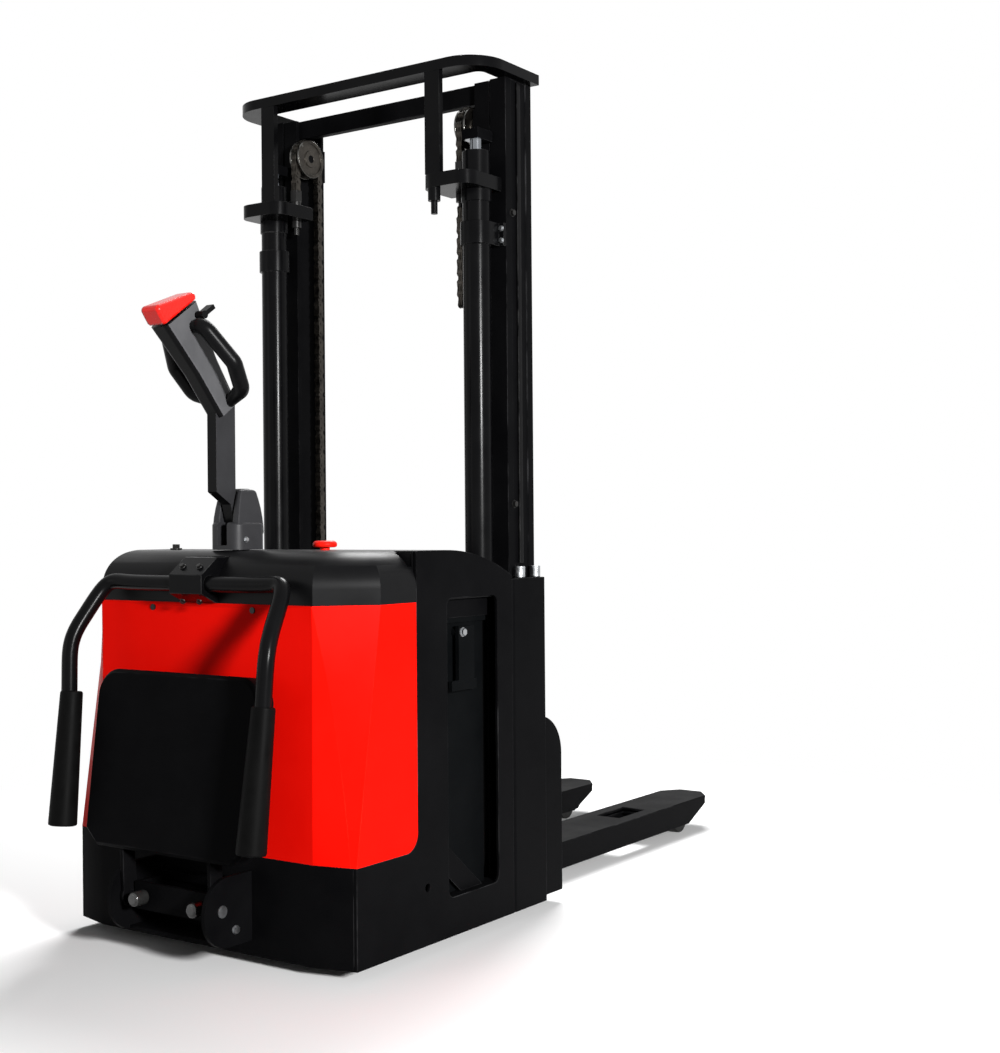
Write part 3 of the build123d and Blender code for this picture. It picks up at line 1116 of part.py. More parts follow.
# Belly button, thumb throttle, horn button and lift rocker on the head
belly_half = HEAD_TOP_HALF + BELLY_OVER
belly_depth = HEAD_TOP_DEPTH / 2 + BELLY_OVER
belly_side = outline([(-belly_depth, belly_z), (belly_depth, belly_z), (belly_depth, belly_z + BELLY_NOSE),
                      (-belly_depth, belly_z + BELLY_HEIGHT)])
belly = plate_x(belly_side, -belly_half, belly_half)
belly_round = [edge for edge in belly.edges() if edge.center().Z > belly_z + SHOW_GAP]
belly = fillet(belly_round, BELLY_EDGE)
belly += rod_z(0, 0, stem_z + belly_gap, belly_z, BELLY_STEM_R)
save("belly_button", head_frame * belly)
throttle = rod_x(-wing_out, wing_out, THROTTLE_W, THROTTLE_S, THROTTLE_SHAFT_R)
for side in both(box(wing_in, wing_out, THROTTLE_W, THROTTLE_W + THROTTLE_REACH,
                     THROTTLE_S - THROTTLE_SHEET / 2,
                     THROTTLE_S + THROTTLE_SHEET / 2)):
    throttle += side
for side in both(rod_x(wing_in, wing_out, THROTTLE_W, THROTTLE_S, THROTTLE_SHAFT_R + PIN_HEAD)):
    throttle += side
save("thumb_throttle", head_frame * throttle)
save("horn_button", head_frame * rod_y(0, horn_foot, horn_top, HORN_S, HORN_R))
rocker_long = ROCKER_LENGTH / 2 - PIN_HEAD
rocker = box(-ROCKER_HALF, ROCKER_HALF, pocket_foot + PIN_HEAD, rocker_w + HORN_RISE,
             ROCKER_S - rocker_long,
             ROCKER_S + rocker_long)
rocker += rod_x(-rocker_pin + SHOW_GAP, rocker_pin - SHOW_GAP, rocker_pin_w, ROCKER_S, ROCKER_PIN_R)
save("lift_rocker", head_frame * rocker)

# Tiller arm, cut to the head that it carries
arm_rear = TILLER_PIVOT_Y - ARM_BACK
arm_front = TILLER_PIVOT_Y - ARM_FRONT
boss_side = TILLER_PIVOT_BOSS_R * math.sin(math.radians(45))
arm_shape = outline([(arm_rear, ARM_TOP + HEAD_EDGE), (arm_rear, pivot_z + ARM_KNEE_RISE),
                     (TILLER_PIVOT_Y - ARM_WAIST_BACK, pivot_z + ARM_WAIST_RISE),
                     (TILLER_PIVOT_Y - boss_side, pivot_z - boss_side), (TILLER_PIVOT_Y, pivot_z),
                     (TILLER_PIVOT_Y + boss_side, pivot_z + boss_side), (arm_front, slot_top - SHOW_GAP),
                     (arm_front, ARM_TOP)])
tiller_arm = plate_x(arm_shape, -arm_half, arm_half)
tiller_arm += rod_x(-arm_half, arm_half, TILLER_PIVOT_Y, pivot_z, TILLER_PIVOT_BOSS_R)
tiller_arm -= rod_x(-arm_half - 1, arm_half + 1, TILLER_PIVOT_Y, pivot_z, TILLER_PIN_R + RUN_FIT)
tiller_arm -= head_frame * head
tiller_arm = tiller_arm.solids().sort_by(SortBy.VOLUME)[-1]
save("tiller_arm", tiller_arm)

# Clamp for the side arms, on a column from the drive plate
clamp_shape = outline([(CLAMP_LENGTH, CLAMP_TOP), (PIN_HEAD, CLAMP_TOP),
                       (-CLAMP_REAR, ARM_AXIS_Z + CLAMP_NOSE),
                       (-CLAMP_REAR, ARM_AXIS_Z - CLAMP_NOSE), (-PIN_HEAD, CLAMP_BOTTOM),
                       (CLAMP_LENGTH, CLAMP_BOTTOM)])
clamp = plate_x(clamp_shape, -CLAMP_HALF, CLAMP_HALF)
socket_in = CLAMP_HALF - ARM_SOCKET
for socket in both(rod_x(socket_in - SHOW_GAP, CLAMP_HALF + 1, ARM_AXIS_Y, ARM_AXIS_Z,
                         ARM_TUBE_R + RUN_FIT)):
    clamp -= socket
clamp += box(-ARM_COLUMN_HALF, ARM_COLUMN_HALF, ARM_COLUMN_Y, ARM_COLUMN_Y + ARM_COLUMN_DEPTH, plate_top,
             CLAMP_BOTTOM)
save("arm_clamp", clamp)

# Side arms: a bent tube with a grip sleeve at its end
arm_end = Vector(ARM_END_X, ARM_END_Y, ARM_END_Z)
arm_elbow = Vector(ARM_ELBOW_X, ARM_ELBOW_Y, ARM_ELBOW_Z)
arm_drop = (arm_end - arm_elbow).normalized()
arm_path = FilletPolyline((socket_in, ARM_AXIS_Y, ARM_AXIS_Z), (ARM_SHOULDER_X, ARM_AXIS_Y, ARM_AXIS_Z),
                          arm_elbow, arm_end, radius=ARM_BEND)
side_arm = sweep(Plane(origin=arm_path @ 0, z_dir=arm_path % 0) * Circle(ARM_TUBE_R), path=arm_path)
sleeve_frame = Plane(origin=arm_end - arm_drop * SLEEVE_LENGTH, z_dir=arm_drop)
sleeve_seat = (Align.CENTER, Align.CENTER, Align.MIN)
side_arm += sleeve_frame * Cone(SLEEVE_TOP_R, SLEEVE_END_R, SLEEVE_LENGTH, align=sleeve_seat)
save("side_arm_right", side_arm)
save("side_arm_left", left(side_arm))

# Platform carrier on the skirt, with its buffers, and the fold-down platform
carrier_in = CARRIER_X - CARRIER_SHEET
carrier_face = Pos(-CARRIER_REACH / 2, CARRIER_Z + CARRIER_HEIGHT / 2)
carrier_face = carrier_face * Rectangle(CARRIER_REACH, CARRIER_HEIGHT)
carrier_face = fillet(carrier_face.vertices().group_by(Axis.X)[0], CARRIER_CORNER)
carrier_side = plate_x(carrier_face, carrier_in, CARRIER_X)
arm_out = carrier_in - PLATFORM_ARM_GAP
arm_in = arm_out - PLATFORM_ARM
pin_in = arm_in - SHOW_GAP
carrier_side += rod_x(pin_in, carrier_in, PLATFORM_PIVOT_Y, PLATFORM_PIVOT_Z, PLATFORM_PIN_R)
carrier_side += rod_x(CARRIER_X, CARRIER_X + PIN_HEAD, PLATFORM_PIVOT_Y, PLATFORM_PIVOT_Z,
                      PLATFORM_PIN_R + PIN_HEAD)
bar_z = PLATFORM_PIVOT_Z - CARRIER_BAR_HEIGHT / 2
bar_top = bar_z + CARRIER_BAR_HEIGHT
bar_half = pin_in - CARRIER_WEB_GAP
carrier_bar = box(-bar_half, bar_half, CARRIER_BAR_Y, CARRIER_BAR_Y + CARRIER_BAR, bar_z, bar_top)
for web in both(box(bar_half - CARRIER_WEB, bar_half, CARRIER_BAR_Y, 0, bar_z, bar_top)):
    carrier_bar += web
carrier_foot = box(-carrier_in, carrier_in, CARRIER_BAR_Y, 0, CARRIER_Z, CARRIER_Z + CARRIER_SHEET)
save("platform_carrier", carrier_side + left(carrier_side) + carrier_foot, carrier_bar)
buffer = rod_y(BUFFER_X, CARRIER_BAR_Y - BUFFER_LENGTH, CARRIER_BAR_Y, PLATFORM_PIVOT_Z, BUFFER_R)
save("platform_buffers", *both(buffer))
platform_top = PLATFORM_Z + PLATFORM_LENGTH
platform_side = [(PLATFORM_HALF - PLATFORM_CHAMFER_X, PLATFORM_Z),
                 (PLATFORM_HALF, PLATFORM_Z + PLATFORM_CHAMFER_Z),
                 (PLATFORM_HALF, platform_top)]
platform_face = outline(platform_side + [(-x, z) for x, z in reversed(platform_side)])
platform_face = fillet(platform_face.vertices().group_by(Axis.Y)[-1], PLATFORM_CORNER)
platform = plate_y(platform_face, PLATFORM_Y, PLATFORM_Y + PLATFORM_THICK)
platform = chamfer(platform.faces().sort_by(Axis.Y)[0].edges(), PLATFORM_EDGE)
platform_arm_top = PLATFORM_Z + PLATFORM_BOSS_R
platform_arm_shape = outline([(PLATFORM_PIVOT_Y - PLATFORM_ARM_FOOT, PLATFORM_PIVOT_Z + PLATFORM_EDGE),
                              (PLATFORM_Y + PLATFORM_EDGE, platform_arm_top),
                              (PLATFORM_Y + PLATFORM_THICK - PLATFORM_EDGE, platform_arm_top),
                              (PLATFORM_PIVOT_Y + PLATFORM_ARM_FOOT, PLATFORM_PIVOT_Z - PLATFORM_EDGE)])
platform_arm = plate_x(platform_arm_shape, arm_in, arm_out)
platform_arm += rod_x(arm_in, arm_out, PLATFORM_PIVOT_Y, PLATFORM_PIVOT_Z, PLATFORM_BOSS_R)
platform_arm -= rod_x(arm_in - 1, arm_out + 1, PLATFORM_PIVOT_Y, PLATFORM_PIVOT_Z, PLATFORM_PIN_R + RUN_FIT)
platform_rest = Pos(0, PLATFORM_PIVOT_Y, PLATFORM_PIVOT_Z) * Rot(-PLATFORM_LEAN, 0, 0)
platform_rest = platform_rest * Pos(0, -PLATFORM_PIVOT_Y, -PLATFORM_PIVOT_Z)
save("foot_platform", platform_rest * (platform + platform_arm + left(platform_arm)))

# Emergency stop and key switch in the deck
estop_z = deck_top + estop_gap
estop = rod_z(ESTOP_X, ESTOP_Y, estop_z, estop_z + ESTOP_HEAD, ESTOP_HEAD_R)
estop = fillet(estop.edges().group_by(Axis.Z)[-1], ESTOP_EDGE)
estop += rod_z(ESTOP_X, ESTOP_Y, deck_top - COVER_SHEET - SWITCH_TAIL, estop_z, ESTOP_STEM_R)
save("estop_button", estop)
key_z = deck_top + DRIVE_LIFT
key = rod_z(KEY_X, KEY_Y, deck_top - COVER_SHEET - SWITCH_TAIL, key_z, KEY_BARREL_R)
key += rod_z(KEY_X, KEY_Y, key_z, key_z + KEY_COLLAR, KEY_COLLAR_R)
key += box(KEY_X - KEY_BLADE_HALF, KEY_X + KEY_BLADE_HALF, KEY_Y - KEY_BLADE_SHEET / 2,
           KEY_Y + KEY_BLADE_SHEET / 2,
           key_z + KEY_COLLAR, key_z + KEY_COLLAR + KEY_BLADE)
save("key_switch", key)
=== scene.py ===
# %% [markdown]
# # A pallet stacker, dressed for a studio photograph
#
# The solids of this stacker were made in a CAD program and packed as a frame of named bodies with
# joints. This lesson loads that frame, gives every solid its edge rounding and its real finish, and
# models the pieces that a CAD solid can't show well, such as the leaf chains, the bent side arms and the
# bolts. Each piece sits where its solid sits, a few are reshaped by some millimetres, and the overall
# size stays as it is.

# %% Load the frame
import json
import math

import bmesh
import bpy
from mathutils import Matrix, Vector

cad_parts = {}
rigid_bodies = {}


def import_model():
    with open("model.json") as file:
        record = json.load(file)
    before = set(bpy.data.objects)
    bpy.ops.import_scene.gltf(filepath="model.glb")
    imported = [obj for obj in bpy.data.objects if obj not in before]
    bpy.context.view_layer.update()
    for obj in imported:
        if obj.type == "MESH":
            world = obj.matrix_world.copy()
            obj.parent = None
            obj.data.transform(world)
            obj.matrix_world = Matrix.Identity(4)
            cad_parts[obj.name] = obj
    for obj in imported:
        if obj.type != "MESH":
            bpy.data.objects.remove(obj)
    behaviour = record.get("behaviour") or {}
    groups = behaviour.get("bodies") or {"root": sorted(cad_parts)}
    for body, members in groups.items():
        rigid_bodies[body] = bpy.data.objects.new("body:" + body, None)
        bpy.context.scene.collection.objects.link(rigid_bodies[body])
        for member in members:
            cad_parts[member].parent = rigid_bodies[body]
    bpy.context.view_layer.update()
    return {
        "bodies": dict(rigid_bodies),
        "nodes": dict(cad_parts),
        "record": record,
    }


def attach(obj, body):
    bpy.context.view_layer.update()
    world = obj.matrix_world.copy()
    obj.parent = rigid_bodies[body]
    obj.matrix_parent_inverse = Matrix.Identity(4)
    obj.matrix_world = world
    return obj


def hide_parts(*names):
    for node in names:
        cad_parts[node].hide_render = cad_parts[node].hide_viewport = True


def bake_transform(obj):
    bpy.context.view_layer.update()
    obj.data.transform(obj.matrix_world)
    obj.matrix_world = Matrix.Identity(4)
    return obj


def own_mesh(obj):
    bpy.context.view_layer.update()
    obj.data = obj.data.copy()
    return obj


MM = 0.001
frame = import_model()

# %% [markdown]
# ## Finishes
#
# Colours are written as the sRGB hex values that a paint chart gives, and one function turns them
# into the linear values that the renderer mixes. Another small function adds a shader node, sets its
# inputs and links what feeds it.

# %% Colour and node helpers
def linear(chart):
    """A hex colour such as "d8200e" as linear RGBA."""
    parts = [int(chart[i:i + 2], 16) / 255 for i in (0, 2, 4)]
    return [c / 12.92 if c <= 0.04045 else ((c + 0.055) / 1.055) ** 2.4 for c in parts] + [1.0]


def plug(sockets, label):
    """The socket of that name that is in use: some nodes keep hidden ones under the same name."""
    return next((s for s in sockets if s.name == label and s.enabled), None)


def add(tree, kind, feeds, values, **options):
    """Add a shader node: options first, then input values, then links from (socket, input name)."""
    made = tree.nodes.new(kind)
    for key, value in options.items():
        setattr(made, key, value)
    for label, value in values.items():
        plug(made.inputs, label).default_value = value
    for socket, label in feeds:
        tree.links.new(socket, plug(made.inputs, label))
    return made


def per_metre(size_mm):
    """The texture scale at which one feature is about size_mm wide, on coordinates in metres."""
    return 1000.0 / size_mm


# %% [markdown]
# Most surfaces here share one recipe. Paint, plastic and metal all vary slowly in tone and gloss, as
# dust, wear and handling leave them, and each has a fine grain of its own: the orange peel of powder
# coat, the spark texture of a moulded cover, the drawing lines of bar steel. The recipe takes the two
# tones, the range of roughness, the width of the patches and the width and depth of the grain, all in
# real sizes. Stretching the grain along one axis turns specks into lines. Where an edge tone is given, a
# paler tone goes on the rounded edges in patches: partly paint rubbed thin as hands, boots and pallets
# leave it, partly a painted highlight along the edges. The edge faces are marked with an attribute when
# they are rounded, further down.

# %% The recipe for a finish
# Noise seldom leaves this range, so it is what the tones and the roughness are spread over.
NOISE_LOW, NOISE_HIGH = 0.30, 0.70
# The edge tone is absent below the first value of the noise and full above the second: rubbed paint and
# painted highlight.
WEAR_AND_HIGHLIGHT_FROM, WEAR_AND_HIGHLIGHT_TO = 0.46, 0.62


def finish(name, dark, pale, gloss, patch_mm, grain_mm, depth_mm, stretch=(1, 1, 1), wear_and_highlight=None, **values):
    """A material from two tones. Values go straight to the shader's own inputs."""
    made = bpy.data.materials.new(name)
    made.use_nodes = True
    tree = made.node_tree
    shader = tree.nodes["Principled BSDF"]
    for label, value in values.items():
        shader.inputs[label.replace("_", " ")].default_value = value
    where = add(tree, "ShaderNodeTexCoord", [], {}).outputs["Object"]
    patches = add(tree, "ShaderNodeTexNoise", [(where, "Vector")],
                  {"Scale": per_metre(patch_mm), "Detail": 6.0, "Roughness": 0.62})
    spread = add(tree, "ShaderNodeMapRange", [(patches.outputs["Fac"], "Value")],
                 {"From Min": NOISE_LOW, "From Max": NOISE_HIGH})
    tone = add(tree, "ShaderNodeMix", [(spread.outputs["Result"], "Factor")],
               {"A": linear(dark), "B": linear(pale)}, data_type="RGBA")
    rough = add(tree, "ShaderNodeMapRange", [(patches.outputs["Fac"], "Value")],
                {"From Min": NOISE_LOW, "From Max": NOISE_HIGH, "To Min": gloss[0], "To Max": gloss[1]})
    lines = add(tree, "ShaderNodeMapping", [(where, "Vector")], {"Scale": stretch})
    grain = add(tree, "ShaderNodeTexNoise", [(lines.outputs["Vector"], "Vector")],
                {"Scale": per_metre(grain_mm), "Detail": 2.0})
    bump = add(tree, "ShaderNodeBump", [(grain.outputs["Fac"], "Height")],
               {"Strength": 1.0, "Distance": depth_mm * MM})
    colour = plug(tone.outputs, "Result")
    # A paler tone on the marked edges, in noise patches: partly rubbed paint, partly a painted highlight
    # along the edges.
    if wear_and_highlight:
        edge = add(tree, "ShaderNodeAttribute", [], {}, attribute_name="edge_wear_and_highlight")
        wear_and_highlight_patches = add(tree, "ShaderNodeMapRange", [(patches.outputs["Fac"], "Value")],
                     {"From Min": WEAR_AND_HIGHLIGHT_FROM, "From Max": WEAR_AND_HIGHLIGHT_TO})
        amount = add(tree, "ShaderNodeMath", [(edge.outputs["Fac"], "Value")], {}, operation="MULTIPLY")
        tree.links.new(wear_and_highlight_patches.outputs["Result"], amount.inputs[1])
        wear_and_highlight_mix = add(tree, "ShaderNodeMix", [(amount.outputs["Value"], "Factor"), (colour, "A")],
                   {"B": linear(wear_and_highlight)}, data_type="RGBA")
        colour = plug(wear_and_highlight_mix.outputs, "Result")
    tree.links.new(colour, shader.inputs["Base Color"])
    tree.links.new(rough.outputs["Result"], shader.inputs["Roughness"])
    tree.links.new(bump.outputs["Normal"], shader.inputs["Normal"])
    print("finish:", name)
    return made


# %% [markdown]
# Nearly all of the machine is painted. Plate and tube are blasted, dusted with powder and baked, the red
# cover sheet is sprayed and stoved, and the castings of the drive are brushed with machine paint. Black
# paint differs mostly in its shine, so each has its own roughness and specular level.

# %% Paints
# The paler edge tones of the black paints are partly rubbed paint, partly a painted highlight along the
# edges.
# Polyester powder melted on to steel plate: near black and satin, with a faint orange peel.
powder_black = finish("powder_coat_black", "060607", "0c0c0d", gloss=(0.40, 0.54), patch_mm=160,
                      grain_mm=4.0, depth_mm=0.05, wear_and_highlight="2b2b2c", Specular_IOR_Level=0.014)
# The same powder on drawn tube, which is smoother and mirrors the lamps as clear lines.
tube_black = finish("powder_coat_black_on_tube", "050506", "0a0a0b", gloss=(0.18, 0.28),
                    patch_mm=120, grain_mm=5.0, depth_mm=0.02, wear_and_highlight="343434",
                    Specular_IOR_Level=0.06)
# Stoved enamel on the cover sheet: a full red under a clear, slightly wavy gloss.
# Its paler red edge tone is a painted highlight along the rounded edges and the folds.
enamel_red = finish("enamel_red", "f30d04", "fb1107", gloss=(0.34, 0.46), patch_mm=220,
                    grain_mm=7.0, depth_mm=0.04, wear_and_highlight="ff3a26", Specular_IOR_Level=0.03)
# Brushed-on machine paint over rough castings.
cast_paint = finish("machine_paint_on_cast_iron", "141516", "202123", gloss=(0.45, 0.62),
                    patch_mm=60, grain_mm=1.6, depth_mm=0.25, wear_and_highlight="3a3a3a", Specular_IOR_Level=0.2)
# Epoxy paint on the steel battery case, dulled by acid mist.
battery_paint = finish("epoxy_paint_battery", "060708", "0b0c0d", gloss=(0.48, 0.62), patch_mm=120,
                       grain_mm=2.5, depth_mm=0.06, wear_and_highlight="232527", Specular_IOR_Level=0.014)

# %% [markdown]
# The plastics differ in how they are moulded. The deck cover and the platform come from a tool with a
# spark-eroded texture, so their grain is fine and shallow. The tiller head is smoother and its red button
# is polished. The grip sleeves are soft rubber with almost no shine, and the buffers are hard rubber.

# %% Plastics and rubber
# Grained polypropylene, finer on the deck cover and coarser on the platform.
cover_plastic = finish("polypropylene_black", "070708", "0c0c0d", gloss=(0.32, 0.42), patch_mm=140,
                       grain_mm=0.9, depth_mm=0.03, Specular_IOR_Level=0.08)
# The platform's paler edge tone is partly rubbed plastic, partly a painted highlight along the edges.
platform_plastic = finish("polypropylene_coarse_grain", "070708", "0d0d0e", gloss=(0.46, 0.60),
                          patch_mm=90, grain_mm=1.8, depth_mm=0.10, wear_and_highlight="1c1c1d",
                          Specular_IOR_Level=0.012)
# Black ABS of the tiller's grips and dark grey of its hood. The dark grey on the arm's flanks and the
# pale grey on the head's flanks are partly grey panels, partly painted light on the flanks.
abs_black = finish("abs_black", "070708", "0c0c0d", gloss=(0.28, 0.40), patch_mm=70, grain_mm=0.7,
                   depth_mm=0.02, Specular_IOR_Level=0.07)
abs_grey = finish("abs_dark_grey", "202022", "29292b", gloss=(0.40, 0.52), patch_mm=70,
                  grain_mm=0.8, depth_mm=0.03, Specular_IOR_Level=0.22)
abs_pale = finish("abs_pale_grey", "48484a", "545456", gloss=(0.40, 0.52), patch_mm=70,
                  grain_mm=0.8, depth_mm=0.03, Specular_IOR_Level=0.30)
# Polished red ABS of the belly button and the horn button.
abs_red = finish("abs_red", "e0140c", "ee1c12", gloss=(0.20, 0.30), patch_mm=60, grain_mm=6.0,
                 depth_mm=0.01, Specular_IOR_Level=0.35)
# Red nylon of the emergency stop, dull from the palm.
mushroom_red = finish("nylon_red", "e8160c", "f01e12", gloss=(0.36, 0.48), patch_mm=30,
                      grain_mm=1.5, depth_mm=0.02, Specular_IOR_Level=0.08)
# Moulded rubber of the sleeves on the side arms and the mat on the platform.
rubber_black = finish("rubber_black", "060606", "0c0c0c", gloss=(0.42, 0.56), patch_mm=50,
                      grain_mm=0.5, depth_mm=0.05, Specular_IOR_Level=0.03)
# Hard dark rubber of the buffers, polished where the platform knocks on it.
rubber_hard = finish("rubber_hard", "1a1a1a", "2a2a29", gloss=(0.12, 0.24), patch_mm=25,
                     grain_mm=0.8, depth_mm=0.02, Specular_IOR_Level=0.6)
# Cast polyurethane of the wheels and the load rollers.
tread_black = finish("polyurethane_black", "0d0d0d", "181817", gloss=(0.42, 0.60), patch_mm=45,
                     grain_mm=1.2, depth_mm=0.03, Specular_IOR_Level=0.2)

# %% [markdown]
# Bare metal shows how it was worked. The chains and pins are dark with oil, the lift rods are ground
# and chromed, and the bolts, bushes and washers carry a thin zinc plate that dulls to grey.

# %% Metals
# Oiled steel, drawn lengthways, of chains and pins.
oiled_steel = finish("oiled_steel", "2b2926", "4b4742", gloss=(0.30, 0.46), patch_mm=30,
                     grain_mm=0.8, depth_mm=0.02, stretch=(1, 1, 0.15), Metallic=1.0)
# Turned steel of the sheave rims and mast rollers, polished by running.
run_steel = finish("steel_polished_by_running", "4e4d4b", "6b6a67", gloss=(0.22, 0.34), patch_mm=20,
                   grain_mm=0.4, depth_mm=0.01, Metallic=1.0)
# Hard chrome on the ground lift rods.
hard_chrome = finish("hard_chrome", "6c6f73", "84878b", gloss=(0.10, 0.18), patch_mm=90,
                     grain_mm=0.5, depth_mm=0.004, stretch=(1, 1, 6), Metallic=1.0)
# Zinc plate on bolts, bushes and washers.
zinc_plate = finish("zinc_plate", "97999b", "b4b6b8", gloss=(0.26, 0.42), patch_mm=12, grain_mm=0.6,
                    depth_mm=0.02, Metallic=1.0)
# Blackened high-tensile bolts.
black_bolt = finish("bolt_black_oxide", "121212", "1d1c1b", gloss=(0.30, 0.44), patch_mm=10,
                    grain_mm=0.5, depth_mm=0.02, Metallic=0.6)

# %% [markdown]
# ## Dressing the solids
#
# A CAD solid arrives as loose triangles with knife edges. On the real machine every edge is slightly
# round: sheet is deburred, castings have fillets, and paint draws back from corners. Each solid is
# copied, its triangles are joined into flat faces again, and its sharp edges get a small bevel, which
# is what catches the light along an edge. The copy stands for its solid and moves with the same body.

# %% Copy a solid and round its edges
body_of_node = {name: solid.parent for name, solid in frame["nodes"].items()}
slot_of_node = {row["node"]: row["material_slot"] for row in frame["record"]["subparts"]}
body_names = {empty: name for name, empty in frame["bodies"].items()}
# The drawings measure Y from the body's rear face, which lies this far behind the frame's origin.
REAR_FACE = 880.0
# Corners closer than this are one corner, and faces that turn by less than this are one face.
WELD, FLAT = 0.01, 0.5
# An edge that folds by more than this angle is sharp, and a long one may be given a smaller limit.
SHARP, LONG_EDGE = 35.0, 40.0
# Bevels wider than this stay out of inside corners, where they would stand in the way of moving pieces.
LARGEST_FILLET = 3.0


def at(x, y, z):
    """A place on the drawings, in millimetres with Y from the body's rear face, in the scene."""
    return Vector((x, y - REAR_FACE, z)) * MM


def mesh_of(name, bm):
    """Turn a bmesh into a mesh and let the bmesh go."""
    mesh = bpy.data.meshes.new(name)
    bm.to_mesh(mesh)
    bm.free()
    return mesh


def show(name, mesh, body, slot, *materials, angle=SHARP):
    """Put a finished mesh in the scene as a piece that rides on a body, smooth up to that angle."""
    piece = bpy.data.objects.new(name, mesh)
    bpy.context.scene.collection.objects.link(piece)
    for material in materials:
        mesh.materials.append(material)
    mesh.shade_smooth()
    mesh.set_sharp_from_angle(angle=math.radians(angle))
    even = piece.modifiers.new("even_shading", "WEIGHTED_NORMAL")
    even.keep_sharp = True
    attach(piece, body)
    return piece


def solid_copy(node):
    """A bmesh of a node's solid with its triangles joined into flat faces."""
    bm = bmesh.new()
    bm.from_mesh(frame["nodes"][node].data)
    bmesh.ops.remove_doubles(bm, verts=bm.verts, dist=WELD * MM)
    bmesh.ops.dissolve_limit(bm, angle_limit=math.radians(FLAT), verts=bm.verts, edges=bm.edges)
    return bm


def round_edges(bm, edge_mm, crease=SHARP):
    """Bevel the sharp edges, and long edges from the crease angle on; mark the new faces for wear and
    painted highlight.
    """
    wear_and_highlight_mark = bm.loops.layers.float.new("edge_wear_and_highlight")
    sharp = []
    for edge in bm.edges:
        limit = crease if edge.calc_length() > LONG_EDGE * MM else SHARP
        if edge.is_manifold and edge.calc_face_angle() > math.radians(limit):
            sharp.append(edge)
    if edge_mm > LARGEST_FILLET:
        sharp = [edge for edge in sharp if edge.is_convex]
    rounded = bmesh.ops.bevel(bm, geom=sharp, offset=edge_mm * MM, offset_type="OFFSET", affect="EDGES",
                              segments=2, profile=0.5, clamp_overlap=True, material=-1)
    for face in rounded["faces"]:
        for corner in face.loops:
            corner[wear_and_highlight_mark] = 1.0
    return len(sharp)


def dress(node, material, edge_mm, *parts, shape=None, crease=SHARP):
    """The node's solid as a finished piece on its own body. Parts are pairs of another finish and a
    test on a face's centre and normal that says where it goes. Shape may work on the bmesh first."""
    bm = solid_copy(node)
    if shape:
        shape(bm)
    count = round_edges(bm, edge_mm, crease)
    mesh = mesh_of(node + "_dressed", bm)
    others = [other for other, test in parts]
    body = body_names[body_of_node[node]]
    piece = show(node + "_dressed", mesh, body, slot_of_node[node], material, *others, angle=crease)
    for face in mesh.polygons:
        for index, (other, test) in enumerate(parts, 1):
            if test(face.center, face.normal):
                face.material_index = index
    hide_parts(node)
    print("dressed:", node, count, "edges")
    return piece


def near_line(point, axis, place, radius_mm):
    """True for a point within a radius of a line along X, Y or Z through a place, on either side."""
    off = Vector((abs(point.x), point.y, point.z)) - place
    off["XYZ".index(axis)] = 0.0
    return off.length < radius_mm * MM


def unit(value):
    """Hold a share between 0 and 1."""
    return min(1.0, max(0.0, value))


# %% [markdown]
# Legs, uprights, ties, carriage and forks are cut from plate and channel, welded and powder coated. The
# cylinders, the clamp and the hoop are smoother tube and bar. Each number is the width of the rounding:
# the forks have the widest of the plates, because pallets rub on them.

# %% Painted steel
PLATE_EDGES = {
    "leg_left": 2.0, "leg_right": 2.0, "outer_upright_left": 2.0, "outer_upright_right": 2.0,
    "outer_tie": 2.0, "inner_upright_left": 2.0, "inner_upright_right": 2.0, "inner_ties": 2.0,
    "carriage_frame": 2.0, "fork_left": 2.5, "fork_right": 2.5, "caster_fork_left": 1.5,
    "caster_fork_right": 1.5, "hydraulic_unit": 1.5,
}
TUBE_EDGES = {"cylinder_left": 1.0, "cylinder_right": 1.0, "arm_clamp": 4.0, "mast_hoop": 4.0}
for node, edge_mm in PLATE_EDGES.items():
    dress(node, powder_black, edge_mm)
for node, edge_mm in TUBE_EDGES.items():
    dress(node, tube_black, edge_mm)

# %% [markdown]
# The rear corners of the body are folded back: an upright fold runs down the cover and the skirt, and
# outside it the sheet turns forward, a little at the floor and most under the deck. The solid has only a
# slanting cut there. The fold and a few levels are cut into the copies with planes, and each point
# outside the fold moves from the slanting cut to the twisted strip. Points behind the sheet move less
# and less, so that the inside of the body stays. The folds are shallow, so the cover gets its own limit
# for a sharp edge.

# %% Fold the rear corners
BODY_HALF, FOLD_X = 425.0, 325.0
SKIRT_TOP, COVER_TOP = 240.0, 782.0
# How far the cover leans forward at its top.
COVER_LEAN = 6.0
# How far the solid's corner is cut at its foot and head, and how far the fold turns forward at its foot.
FOOT_CUT, HEAD_CUT, FOOT_FOLD = 14.0, 103.0, 24.0
FOLD_LEVELS, FOLD_ANGLE = 7, 8.0
# The depth of sheet that moves fully, and the depth behind it over which the move fades out.
SKIN, FADE = 9.0, 30.0
# Points this close to a cutting plane lie on it.
ON_PLANE = 0.001
SCREW, SCREW_RADIUS = at(154, 0, 769), 8.0


def slice_at(bm, place, normal):
    """Cut every face that a plane crosses."""
    everything = bm.verts[:] + bm.edges[:] + bm.faces[:]
    bmesh.ops.bisect_plane(bm, geom=everything, plane_co=place, plane_no=normal, dist=ON_PLANE * MM)


def slice_levels(bm, foot, head, count):
    """Cut level planes that divide the height from foot to head into so many parts."""
    for level in range(1, count):
        slice_at(bm, (0, 0, (foot + (head - foot) * level / count) * MM), (0, 0, 1))


